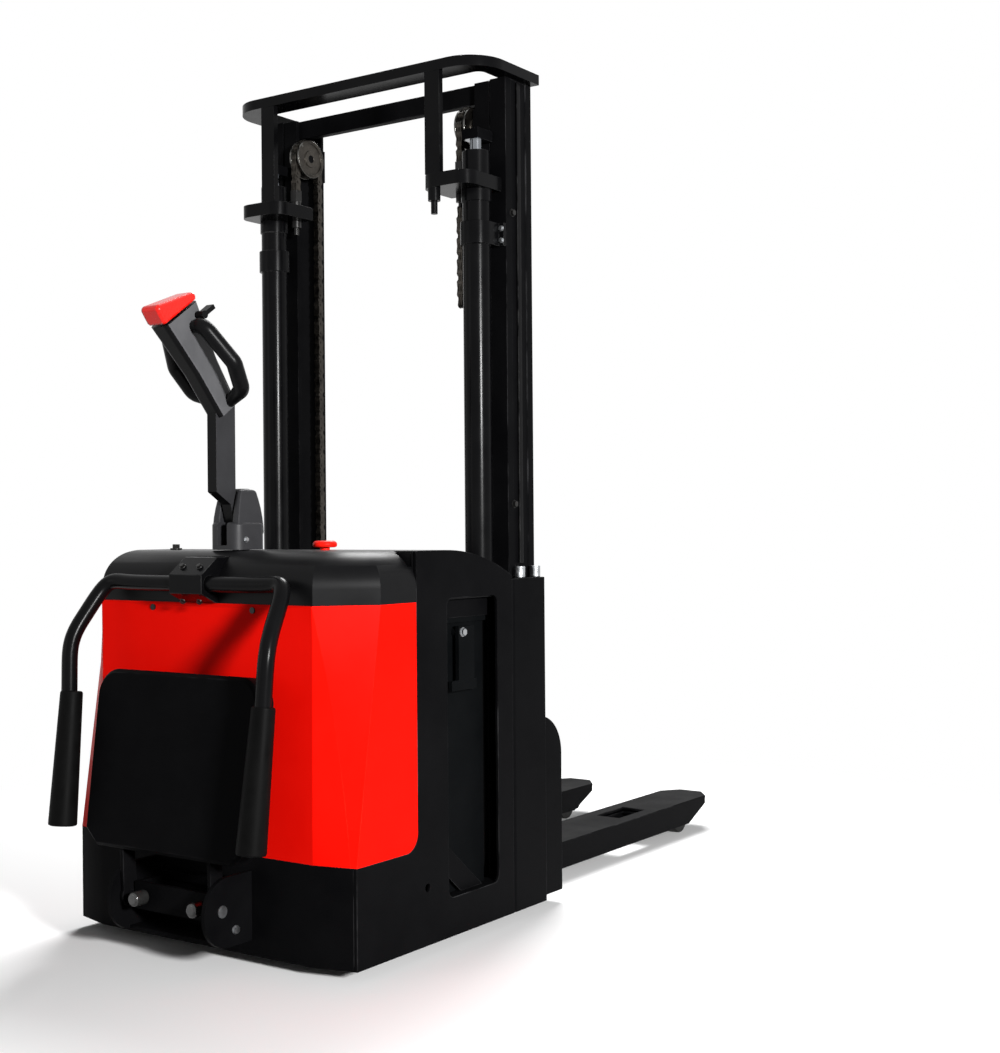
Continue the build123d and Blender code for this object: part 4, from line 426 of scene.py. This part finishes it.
def fold_corners(bm, cut=0.0):
    """Turn the sheet outside the fold forward, from a corner that is cut by so much at its foot."""
    for side in (1, -1):
        slice_at(bm, (side * FOLD_X * MM, 0, 0), (1, 0, 0))
    if cut:
        slice_levels(bm, SKIRT_TOP, COVER_TOP, FOLD_LEVELS)
    for v in bm.verts:
        x, deep, z = abs(v.co.x) / MM, v.co.y / MM + REAR_FACE, v.co.z / MM
        rise = unit((z - SKIRT_TOP) / (COVER_TOP - SKIRT_TOP))
        reach = cut + (HEAD_CUT - cut) * rise
        before = max(0.0, x - (BODY_HALF - reach)) if cut else 0.0
        turned = FOOT_FOLD + (HEAD_CUT - FOOT_FOLD) * rise
        after = max(0.0, x - FOLD_X) / (BODY_HALF - FOLD_X) * turned
        below_skin = deep - COVER_LEAN * rise - before
        v.co.y += (after - before) * unit(1.0 - (below_skin - SKIN) / FADE) * MM


# The cover's limit for a sharp edge also rounds its long folds and marks them, so the paler red paints a
# highlight along each fold.
dress("red_cover", enamel_red, 2.5, (black_bolt, lambda c, n: near_line(c, "Y", SCREW, SCREW_RADIUS)),
      shape=lambda bm: fold_corners(bm, FOOT_CUT), crease=FOLD_ANGLE)
for node in ("side_plate_left", "side_plate_right", "base_frame"):
    dress(node, powder_black, 1.5, shape=fold_corners)

# %% [markdown]
# Some solids carry more than one finish: the posts end in plated bushes and the carrier in plated pins,
# the battery has a red plug, the lift rods are chromed only where they slide, and the sheaves are bright
# where the chain runs. A test on each face's place says which finish it takes.

# %% Pieces with two finishes
BUSHES_FROM, PLUG_FROM = 821.1, 765.5
PIVOT, PIVOT_REACH, CARRIER_FACE = at(0, -90, 138), 15.0, 150.2
ROD, ROD_REACH = at(330, 604, 0), 15.5
CHAIN_X, WRAP_Y, WRAP_Z, WRAP_R = 270.0, 667.0, 1928.0, 43.0
SHEAVE = at(CHAIN_X, WRAP_Y, WRAP_Z)
for side in ("left", "right"):
    dress("post_" + side, powder_black, 2.0, (zinc_plate, lambda c, n: c.z > BUSHES_FROM * MM))
    dress("battery_latch_" + side, battery_paint, 0.8)
dress("platform_carrier", powder_black, 2.0,
      (zinc_plate, lambda c, n: abs(c.x) > CARRIER_FACE * MM and near_line(c, "X", PIVOT, PIVOT_REACH)))
dress("battery", battery_paint, 2.0, (abs_red, lambda c, n: c.z > PLUG_FROM * MM))
dress("lift_rods", powder_black, 0.8, (hard_chrome, lambda c, n: near_line(c, "Z", ROD, ROD_REACH)))
dress("chain_anchors", black_bolt, 1.0)
dress("chain_sheaves", oiled_steel, 1.0,
      (run_steel, lambda c, n: not near_line(c, "X", SHEAVE, WRAP_R)))
dress("drive_gearbox", cast_paint, 2.5)
dress("drive_motor", cast_paint, 1.5)

# %% [markdown]
# The deck cover, the platform and the box of the motor controller are mouldings of one finish each. A
# moulded edge is never a knife edge, and the largest piece has the widest rounding.

# %% Mouldings
dress("deck_cover", cover_plastic, 3.0)
dress("foot_platform", platform_plastic, 2.0)
dress("motor_controller", cover_plastic, 1.5)

# %% [markdown]
# ## Tiller and switches
#
# The tiller is held all day. Its shells are moulded with full radii. The flanks of the arm and the head,
# the faces that point sideways, take paler greys: partly grey panels, partly painted light on the flanks.
# The grips are a full hand's hold, thicker than in the solid, so the points outside

# %% Tiller
HEAD_HALF = 27.5
GRIP_ROOT, GRIP_CLEAR, GRIP_SWELL = 31.5, 44.0, 5.0
# The least part of a normal along X that makes a face a flank.
FLANK = 0.9


def swell_grips(bm):
    """Fatten the closed grips outside the head, fading out where they root."""
    bm.normal_update()
    for v in bm.verts:
        share = unit((abs(v.co.x) / MM - GRIP_ROOT) / (GRIP_CLEAR - GRIP_ROOT))
        v.co += v.normal * GRIP_SWELL * share * MM


dress("tiller_base", abs_grey, 7.0)
# The flanks, picked by the way their faces point, get the paler greys: partly grey panels, partly painted
# light on the sides.
dress("tiller_arm", abs_black, 1.5, (abs_grey, lambda c, n: abs(n.x) > FLANK))
dress("tiller_head", abs_black, 6.0,
      (abs_pale, lambda c, n: abs(n.x) > FLANK and abs(c.x) < HEAD_HALF * MM), shape=swell_grips)
dress("thumb_throttle", abs_black, 1.5)
dress("belly_button", abs_red, 8.0)

# %% [markdown]
# The emergency stop is struck with the palm, so its mushroom head is wide and its stem thin. Scaling only
# the points outside the stem widens the solid's head.

# %% Switches
MUSHROOM, STEM_RADIUS, HEAD_SPREAD = at(200, 190, 0), 14.0, 1.3


def widen_mushroom(bm):
    """Spread the head of the emergency stop to a palm's width, and leave its stem."""
    head = [v for v in bm.verts if (v.co.xy - MUSHROOM.xy).length > STEM_RADIUS * MM]
    bmesh.ops.scale(bm, vec=(HEAD_SPREAD, HEAD_SPREAD, 1.0), verts=head,
                    space=Matrix.Translation(-MUSHROOM))


dress("estop_button", mushroom_red, 5.0, shape=widen_mushroom)
dress("horn_button", abs_red, 1.0)
dress("lift_rocker", abs_black, 1.0)
dress("key_switch", black_bolt, 0.6)

# %% [markdown]
# Wheels and load rollers have polyurethane cast on an iron hub, and the mast rollers are bare bearings.
# The buffers that stop the platform are short rubber plugs with well rounded ends.

# %% Buffers, wheels and rollers
dress("platform_buffers", rubber_hard, 7.0)
for node in ("drive_wheel", "caster_wheel_left", "caster_wheel_right", "load_roller_left",
             "load_roller_right"):
    dress(node, tread_black, 1.5)
for node in ("top_rollers", "inner_rollers", "carriage_rollers_upper", "carriage_rollers_lower"):
    dress(node, run_steel, 1.0)

# %% [markdown]
# ## Side arms
#
# Each side arm is one length of tube, drawn round a former in two easy bends, with a rubber sleeve pushed
# on its end. A curve with a round bevel is the natural way to make bent tube: its few points are the
# corners of the route, and its smooth spline cuts inside them as the bender does. The sleeve is a cone
# with its rims rounded, turned along the last run.

# %% Bend the tube and push on the sleeve
ARM_ROUTE = ((44, -19, 825), (150, -19, 825), (225, -19, 825), (278, -20, 833), (290, -74, 752),
             (306, -118, 690), (297, -112, 600), (293, -128, 450))
ARM_RADIUS = 18.0
SLEEVE_FROM, SLEEVE_TO = (295, -112, 582), (289, -146, 283)
SLEEVE_TOP_RADIUS, SLEEVE_FOOT_RADIUS, SLEEVE_EDGE = 25.0, 32.0, 5.0


def mirrored(place, side):
    """A place on the drawings on the right side (1) or the left side (-1)."""
    return at(side * place[0], place[1], place[2])


def bent_tube(name, route, radius):
    """A mesh of round tube that follows a smooth spline inside the corners of its route."""
    line = bpy.data.curves.new(name, "CURVE")
    line.dimensions = "3D"
    line.bevel_depth = radius * MM
    line.bevel_resolution = 6
    line.resolution_u = 8
    line.use_fill_caps = True
    spline = line.splines.new("NURBS")
    spline.points.add(len(route) - 1)
    for point, place in zip(spline.points, route):
        point.co = (*place, 1.0)
    spline.order_u = 4
    spline.use_endpoint_u = True
    holder = bpy.data.objects.new(name, line)
    mesh = bpy.data.meshes.new_from_object(holder)
    mesh.name = name
    bpy.data.objects.remove(holder)
    bpy.data.curves.remove(line)
    return mesh


for label, side in (("left", -1), ("right", 1)):
    tube = bent_tube("arm_tube_" + label, [mirrored(place, side) for place in ARM_ROUTE], ARM_RADIUS)
    piece = show("arm_tube_" + label, tube, "side_arm_" + label, "black_paint", tube_black)
    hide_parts("side_arm_" + label)
    top, foot = mirrored(SLEEVE_FROM, side), mirrored(SLEEVE_TO, side)
    along = (top - foot).to_track_quat("Z", "Y").to_matrix().to_4x4()
    bm = bmesh.new()
    bmesh.ops.create_cone(bm, cap_ends=True, segments=40, radius1=SLEEVE_FOOT_RADIUS * MM,
                          radius2=SLEEVE_TOP_RADIUS * MM, depth=(top - foot).length,
                          matrix=Matrix.Translation((top + foot) / 2) @ along)
    round_edges(bm, SLEEVE_EDGE)
    sleeve = mesh_of("grip_sleeve_" + label, bm)
    show("grip_sleeve_" + label, sleeve, "side_arm_" + label, "rubber", rubber_black)
    print("side arm:", label, len(tube.polygons) + len(sleeve.polygons), "faces")

# %% [markdown]
# ## Leaf chains
#
# The fork carriage hangs on two leaf chains: thin waisted plates laced four and three on hardened pins.
# A picture on a flat belt would lose the plates' edges, which is what catches the light, so real plates
# are stamped out. One plate starts as a circle whose halves are drawn apart by the pitch. Its long edges
# get a middle point that is pulled in for the waist, and the outline is extruded to its thickness. Copies
# of it follow the chain's route: up the front, over the sheave and down to the anchor.

# %% One plate, one pin and a run of chain
PLATE_HEIGHT, PLATE_THICK, PLATE_CORNERS = 20.0, 2.4, 10
WAIST = 0.74
PIN_RADIUS, PIN_LENGTH = 3.6, 20.0
FOUR_PLATES, THREE_PLATES = (-7.5, -2.5, 2.5, 7.5), (-5.0, 0.0, 5.0)
ACROSS = Matrix.Rotation(math.pi / 2, 4, "Y")


def corners_of(parts):
    """The corner points among the parts that an operator gives back."""
    return [part for part in parts if isinstance(part, bmesh.types.BMVert)]


def chain_plate(pitch):
    """A waisted plate across X, long along Z, round the middle of its pitch."""
    bm = bmesh.new()
    turned = ACROSS @ Matrix.Rotation(math.pi / PLATE_CORNERS, 4, "Z")
    ring = bmesh.ops.create_circle(bm, cap_ends=True, segments=PLATE_CORNERS,
                                   radius=PLATE_HEIGHT / 2 * MM, matrix=turned)
    for end in (1, -1):
        half = [v for v in ring["verts"] if v.co.z * end > 0]
        bmesh.ops.translate(bm, verts=half, vec=(0, 0, end * pitch / 2 * MM))
    long_edges = [e for e in bm.edges if e.verts[0].co.z * e.verts[1].co.z < 0]
    cut = bmesh.ops.subdivide_edges(bm, edges=long_edges, cuts=1)
    bmesh.ops.scale(bm, vec=(1, WAIST, 1), verts=corners_of(cut["geom_inner"]))
    pushed = bmesh.ops.extrude_face_region(bm, geom=bm.faces[:])
    bmesh.ops.translate(bm, verts=corners_of(pushed["geom"]), vec=(PLATE_THICK * MM, 0, 0))
    bmesh.ops.translate(bm, verts=bm.verts, vec=(-PLATE_THICK / 2 * MM, 0, 0))
    bmesh.ops.recalc_face_normals(bm, faces=bm.faces)
    return bm


def stamp(bm, shape, place):
    """Add a copy of another bmesh at a place given by a matrix."""
    mesh = bpy.data.meshes.new("stamp")
    shape.to_mesh(mesh)
    mesh.transform(place)
    bm.from_mesh(mesh)
    bpy.data.meshes.remove(mesh)


def chain_run(name, side, points, first=0):
    """Plates between each two points of (Y, Z), and a pin at each point."""
    bm, pin = bmesh.new(), bmesh.new()
    bmesh.ops.create_cone(pin, cap_ends=True, segments=8, radius1=PIN_RADIUS * MM,
                          radius2=PIN_RADIUS * MM, depth=PIN_LENGTH * MM, matrix=ACROSS)
    for step, (a, b) in enumerate(zip(points, points[1:]), first):
        turn = Matrix.Rotation(math.atan2(a[0] - b[0], b[1] - a[1]), 4, "X")
        plate = chain_plate(math.hypot(b[0] - a[0], b[1] - a[1]))
        for row in FOUR_PLATES if step % 2 else THREE_PLATES:
            middle = at(side * CHAIN_X + row, (a[0] + b[0]) / 2, (a[1] + b[1]) / 2)
            stamp(bm, plate, Matrix.Translation(middle) @ turn)
        plate.free()
    for y, z in points:
        stamp(bm, pin, Matrix.Translation(at(side * CHAIN_X, y, z)))
    pin.free()
    mesh = mesh_of(name, bm)
    print("chain:", name, len(points) - 1, "pitches,", len(mesh.polygons), "faces")
    return show(name, mesh, "inner_mast", "steel", oiled_steel)


# %% [markdown]
# The front fall shortens as the carriage climbs, so it squashes towards the sheave. The rear fall runs
# from an anchor that stays with the frame to a sheave that rises, so it is blended from one to the other.
# The right chain's spare end hangs below its anchor.

# %% Hang the chains
FALL_FOOT, ANCHOR_Z, TAIL_TOP, TAIL_FOOT = 475.0, 1838.0, 1722.0, 1490.0
FRONT_STEPS, WRAP_STEPS, REAR_STEPS, TAIL_STEPS = 57, 5, 4, 9
front_y, rear_y = WRAP_Y + WRAP_R, WRAP_Y - WRAP_R


def fall(y, start, end, steps):
    """The points of a straight run of chain at one Y, in equal steps."""
    return [(y, start + (end - start) * k / steps) for k in range(steps + 1)]


front = fall(front_y, FALL_FOOT, WRAP_Z, FRONT_STEPS)
angles = [math.pi * k / WRAP_STEPS for k in range(WRAP_STEPS + 1)]
wrap = [(WRAP_Y + WRAP_R * math.cos(a), WRAP_Z + WRAP_R * math.sin(a)) for a in angles]
rear = fall(rear_y, WRAP_Z, ANCHOR_Z, REAR_STEPS)
tail = fall(rear_y, TAIL_TOP, TAIL_FOOT, TAIL_STEPS)
for label, side in (("left", -1), ("right", 1)):
    piece = chain_run("leaf_chain_front_" + label, side, front)
    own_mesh(piece)
    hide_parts("lift_chain_" + label)
    chain_run("leaf_chain_wrap_" + label, side, wrap, first=1)
    piece = chain_run("leaf_chain_rear_" + label, side, rear)
    piece.parent = None
    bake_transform(piece)
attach(chain_run("leaf_chain_tail", 1, tail), "chassis")

# %% [markdown]
# ## Bolts and small fittings
#
# Fasteners are what a fitter looks for. A hex head is a six-sided cone with its top edge chamfered, on a
# round washer. One function makes a set of them as one piece, each turned to stand on its own surface.

# %% Sets of bolts
# A bolt's sizes as shares of its thread.
HEX_RADIUS, HEX_HEIGHT, HEX_MIDDLE, CHAMFER = 0.87, 0.65, 0.5, 0.1
WASHER_FOOT, WASHER_RIM, WASHER_THICK = 1.12, 1.05, 0.2


def bolts(name, body, slot, material, thread_mm, places):
    """Hex heads with washers. Places are pairs of a point and the direction that the head faces."""
    d = thread_mm * MM
    one = bmesh.new()
    head = bmesh.ops.create_cone(one, cap_ends=True, segments=6, radius1=HEX_RADIUS * d,
                                 radius2=HEX_RADIUS * d, depth=HEX_HEIGHT * d,
                                 matrix=Matrix.Translation((0, 0, HEX_MIDDLE * d)))
    upper = {v for v in head["verts"] if v.co.z > HEX_MIDDLE * d}
    rim = {edge for v in upper for edge in v.link_edges if upper.issuperset(edge.verts)}
    bmesh.ops.bevel(one, geom=list(rim), offset=CHAMFER * d, offset_type="OFFSET", affect="EDGES",
                    segments=2, profile=0.5, material=-1)
    bmesh.ops.create_cone(one, cap_ends=True, segments=20, radius1=WASHER_FOOT * d,
                          radius2=WASHER_RIM * d, depth=WASHER_THICK * d,
                          matrix=Matrix.Translation((0, 0, WASHER_THICK / 2 * d)))
    bm = bmesh.new()
    for point, facing in places:
        turn = Vector(facing).to_track_quat("Z", "Y").to_matrix().to_4x4()
        stamp(bm, one, Matrix.Translation(point) @ turn)
    one.free()
    print("bolts:", name, len(places))
    return show(name, mesh_of(name, bm), body, slot, material)


sides = (1, -1)
bolts("strap_bolts", "chassis", "steel", zinc_plate, 6.5,
      [(at(s * 377, 640, z), (0, -1, 0)) for s in sides for z in (1637, 1666)])
bolts("upright_bolts", "chassis", "steel", black_bolt, 9,
      [(at(s * 385, 675, z), (s, 0, 0)) for s in sides for z in (1708, 1000)])
# The clamp's rear face slopes away above and below its middle.
SLOPE_UP, SLOPE_DOWN = (0, -37, 41), (0, -37, -41)
bolts("clamp_bolts", "chassis", "steel", black_bolt, 7,
      [(at(x, -26, z), slope) for z, slope in ((863, SLOPE_UP), (787, SLOPE_DOWN)) for x in (-26, 26)])
bolts("tiller_pivot_screws", "steering", "steel", zinc_plate, 6,
      [(at(s * 45, 100, 921), (s, 0, 0)) for s in sides])
for label, s in (("left", -1), ("right", 1)):
    bolts("latch_pivot_" + label, "battery_latch_" + label, "steel", zinc_plate, 10,
          [(at(s * 410, 422, 705), (s, 0, 0))])
bolts("carrier_bolts", "chassis", "steel", zinc_plate, 9,
      [(at(s * 150, -50, 92), (s, 0, 0)) for s in sides])

# %% [markdown]
# Flat bar and moulded blocks come next: the guide strip rolled along each upright, the sheet that closes
# the top of each side window, the web that closes the deck behind each shoulder, the cheeks of the
# tiller's hood, and the splash plate behind the platform's carrier. Each starts as a cube that is
# stretched to its size. The cheeks bow in towards their top: level cuts give them points to move.

# %% Bars and blocks
# The hood's inner face and its middle along Y, its heights and levels, and how far its top draws in.
HOOD_INNER, HOOD_MIDDLE = 19.5, at(0, 121.5, 0)
HOOD_FOOT, HOOD_TOP, HOOD_LEVELS = 930.0, 1034.0, 5
DRAWN_ACROSS, DRAWN_ALONG = 0.35, 0.42


def block(bm, low, high):
    """A box between two corners in millimetres on the drawings."""
    size, middle = Vector(high) - Vector(low), (Vector(high) + Vector(low)) / 2
    stretch = Matrix.Diagonal((*(size * MM), 1))
    bmesh.ops.create_cube(bm, size=1.0, matrix=Matrix.Translation(at(*middle)) @ stretch)


def both_sides(low, high):
    """A bmesh of a block on the right side and its mirror image on the left."""
    bm = bmesh.new()
    block(bm, low, high)
    block(bm, (-high[0], *low[1:]), (-low[0], *high[1:]))
    return bm


def fitting(name, bm, edge_mm, body, slot, material):
    """Round a bmesh's edges and put it in the scene."""
    round_edges(bm, edge_mm)
    mesh = mesh_of(name, bm)
    print("fitting:", name, len(mesh.polygons), "faces")
    return show(name, mesh, body, slot, material)


strips = both_sides((384.5, 694, 856), (389.0, 709, 2030))
trims = both_sides((394.5, 346, 738), (397.0, 540, 796))
webs = both_sides((340.0, 231.5, 815), (411.5, 233.5, 889.5))
cheeks = both_sides((HOOD_INNER, 78, HOOD_FOOT), (42.0, 165, HOOD_TOP))
slice_levels(cheeks, HOOD_FOOT, HOOD_TOP, HOOD_LEVELS)
for v in cheeks.verts:
    rise = (v.co.z / MM - HOOD_FOOT) / (HOOD_TOP - HOOD_FOOT)
    across = (abs(v.co.x) - HOOD_INNER * MM) * (1.0 - DRAWN_ACROSS * rise ** 2)
    v.co.x = math.copysign(HOOD_INNER * MM + across, v.co.x)
    v.co.y = HOOD_MIDDLE.y + (v.co.y - HOOD_MIDDLE.y) * (1.0 - DRAWN_ALONG * rise ** 2)
fitting("upright_strips", strips, 1.5, "chassis", "black_paint", tube_black)
fitting("window_trims", trims, 0.8, "chassis", "black_paint", powder_black)
fitting("deck_webs", webs, 0.5, "chassis", slot_of_node["deck_cover"], cover_plastic)
fitting("hood_cheeks", cheeks, 9.0, "steering", "grey_plastic", abs_grey)

splash = bmesh.new()
block(splash, (-126, 9.5, 94), (126, 11.5, 202))
for z in (112, 148, 184):
    block(splash, (-118, 8.5, z - 5), (118, 10, z + 5))
fitting("splash_plate", splash, 0.8, "chassis", "black_paint", powder_black)

# %% [markdown]
# The driver stands on a ribbed rubber mat. It is pressed with its ribs in one piece, and here the ribs
# are blocks on a sheet. All of it is built upright and then leaned about the platform's hinge, as the
# platform leans when it is folded up.

# %% Mat on the platform
MAT_LEAN = math.radians(7.5)
RIBS, RIB_PITCH, RIB_WIDTH, FIRST_RIB = 17, 20, 8, 276
mat = bmesh.new()
block(mat, (-222, -88.4, 268), (222, -86.2, 606))
for row in range(RIBS):
    foot = FIRST_RIB + RIB_PITCH * row
    block(mat, (-214, -86.4, foot), (214, -84.6, foot + RIB_WIDTH))
bmesh.ops.rotate(mat, verts=mat.verts, cent=PIVOT, matrix=Matrix.Rotation(-MAT_LEAN, 3, "X"))
fitting("platform_mat", mat, 0.6, "platform", "rubber", rubber_black)

# %% [markdown]
# ## The view
#
# The photograph is a studio shot from the rear right corner, level with the deck. The camera's place
# and lens were worked out from edges whose sizes are known, so the frame's own axes set the picture.

# %% Camera
VIEW_FROM = Vector((2.4605, -3.2773, 0.9498))
VIEW_YAW, VIEW_PITCH, VIEW_ROLL = (math.radians(a) for a in (34.583, 0.0695, -0.4505))
# The focal length as a share of the picture's width.
FOCAL_SHARE, SENSOR_MM = 1.5237, 36.0
scene = bpy.context.scene
ahead = Vector((-math.sin(VIEW_YAW) * math.cos(VIEW_PITCH), math.cos(VIEW_YAW) * math.cos(VIEW_PITCH),
                -math.sin(VIEW_PITCH)))
level = Vector((math.cos(VIEW_YAW), math.sin(VIEW_YAW), 0.0))
right = Matrix.Rotation(-VIEW_ROLL, 3, ahead) @ level
facing = Matrix((right, right.cross(ahead), -ahead)).transposed().to_4x4()
camera = bpy.data.objects.new("camera", bpy.data.cameras.new("camera"))
scene.collection.objects.link(camera)
camera.matrix_world = Matrix.Translation(VIEW_FROM) @ facing
camera.data.sensor_fit = "HORIZONTAL"
camera.data.sensor_width = SENSOR_MM
camera.data.lens = FOCAL_SHARE * SENSOR_MM
scene.camera = camera
scene.view_settings.view_transform = "Standard"
print("camera:", [round(value, 3) for value in camera.matrix_world.translation])

# %% [markdown]
# ## Studio light
#
# Three soft boxes light the machine. A small one, low on the right, throws the clear shadows of the side
# arm and the clamp on the cover. A weak one on the left lifts the shaded side, and a wide one overhead
# behind the mast draws the tops.

# %% Soft boxes
# Name, place and aim, width in metres and power in watts.
SOFT_BOXES = (
    ("key_light", (4.8, -2.6, 1.8), (0.0, -0.6, 0.9), 0.6, 470.0),
    ("fill_light", (-2.4, -5.0, 1.6), (0.0, -0.4, 0.9), 2.0, 13.0),
    ("top_light", (-1.2, 2.2, 4.4), (0.0, 0.0, 0.0), 2.2, 300.0),
)
for name, place, aim, width, watts in SOFT_BOXES:
    lamp = bpy.data.objects.new(name, bpy.data.lights.new(name, "AREA"))
    scene.collection.objects.link(lamp)
    lamp.data.shape = "SQUARE"
    lamp.data.size = width
    lamp.data.energy = watts
    facing = (Vector(aim) - Vector(place)).to_track_quat("-Z", "Y").to_matrix().to_4x4()
    lamp.matrix_world = Matrix.Translation(place) @ facing
    print("soft box:", name, watts, "watts")

# %% [markdown]
# The backdrop and the floor are white paper. The camera and the reflections see the paper at full white,
# while the light that it throws on the machine is weaker, so black paint stays black and shadows stay
# clear. The floor keeps the soft shadow near the machine and turns to plain white further out.

# %% Paper backdrop and floor
PAPER_LIGHT = 0.11
FLOOR_HALF = 14.0
# The floor's tone for the light that it throws, and as it is seen.
FLOOR_THROWN, FLOOR_SEEN = "6a6a6a", "fafafa"
# The floor starts to glow at the first distance from the middle and is plain white from the second on.
GLOW_FROM, GLOW_FULL = 1.3, 2.2


def seen_directly(tree):
    """1 for rays that show the backdrop itself, and 0 for the light that it throws."""
    path = add(tree, "ShaderNodeLightPath", [], {}).outputs
    mirror = add(tree, "ShaderNodeMath", [(path["Is Camera Ray"], "Value")], {}, operation="MAXIMUM")
    tree.links.new(path["Is Glossy Ray"], mirror.inputs[1])
    either = add(tree, "ShaderNodeMath", [(mirror.outputs["Value"], "Value")], {}, operation="MAXIMUM")
    tree.links.new(path["Is Transmission Ray"], either.inputs[1])
    return either.outputs["Value"]


world = bpy.data.worlds.new("paper_backdrop")
scene.world = world
world.use_nodes = True
strength = add(world.node_tree, "ShaderNodeMapRange", [(seen_directly(world.node_tree), "Value")],
               {"To Min": PAPER_LIGHT, "To Max": 1.0})
paper = world.node_tree.nodes["Background"]
paper.inputs["Color"].default_value = linear("ffffff")
world.node_tree.links.new(strength.outputs["Result"], paper.inputs["Strength"])

# %% [markdown]
# The floor's material mixes matt paper with a plain glow. The share of glow grows with the distance from
# the machine, and only rays that see the floor get it.

# %% Floor
bm = bmesh.new()
bmesh.ops.create_grid(bm, x_segments=1, y_segments=1, size=FLOOR_HALF)
floor_mesh = mesh_of("floor", bm)
floor = bpy.data.objects.new("floor", floor_mesh)
scene.collection.objects.link(floor)

floor_paper = bpy.data.materials.new("white_paper")
floor_paper.use_nodes = True
tree = floor_paper.node_tree
sheet = tree.nodes["Principled BSDF"]
bounce = add(tree, "ShaderNodeMix", [(seen_directly(tree), "Factor")],
             {"A": linear(FLOOR_THROWN), "B": linear(FLOOR_SEEN)}, data_type="RGBA")
tree.links.new(plug(bounce.outputs, "Result"), sheet.inputs["Base Color"])
sheet.inputs["Roughness"].default_value = 0.9
sheet.inputs["Specular IOR Level"].default_value = 0.0
place = add(tree, "ShaderNodeTexCoord", [], {}).outputs["Object"]
reach = add(tree, "ShaderNodeVectorMath", [(place, "Vector")], {}, operation="LENGTH")
away = add(tree, "ShaderNodeMapRange", [(reach.outputs["Value"], "Value")],
           {"From Min": GLOW_FROM, "From Max": GLOW_FULL}, interpolation_type="SMOOTHSTEP")
share = add(tree, "ShaderNodeMath", [(away.outputs["Result"], "Value")], {}, operation="MULTIPLY")
tree.links.new(seen_directly(tree), share.inputs[1])
glow = add(tree, "ShaderNodeEmission", [], {"Strength": 1.0})
blend = add(tree, "ShaderNodeMixShader", [(share.outputs["Value"], "Fac")], {})
tree.links.new(sheet.outputs["BSDF"], blend.inputs[1])
tree.links.new(glow.outputs["Emission"], blend.inputs[2])
tree.links.new(blend.outputs["Shader"], tree.nodes["Material Output"].inputs["Surface"])
floor_mesh.materials.append(floor_paper)
print("backdrop:", world.name, "and", floor_paper.name)
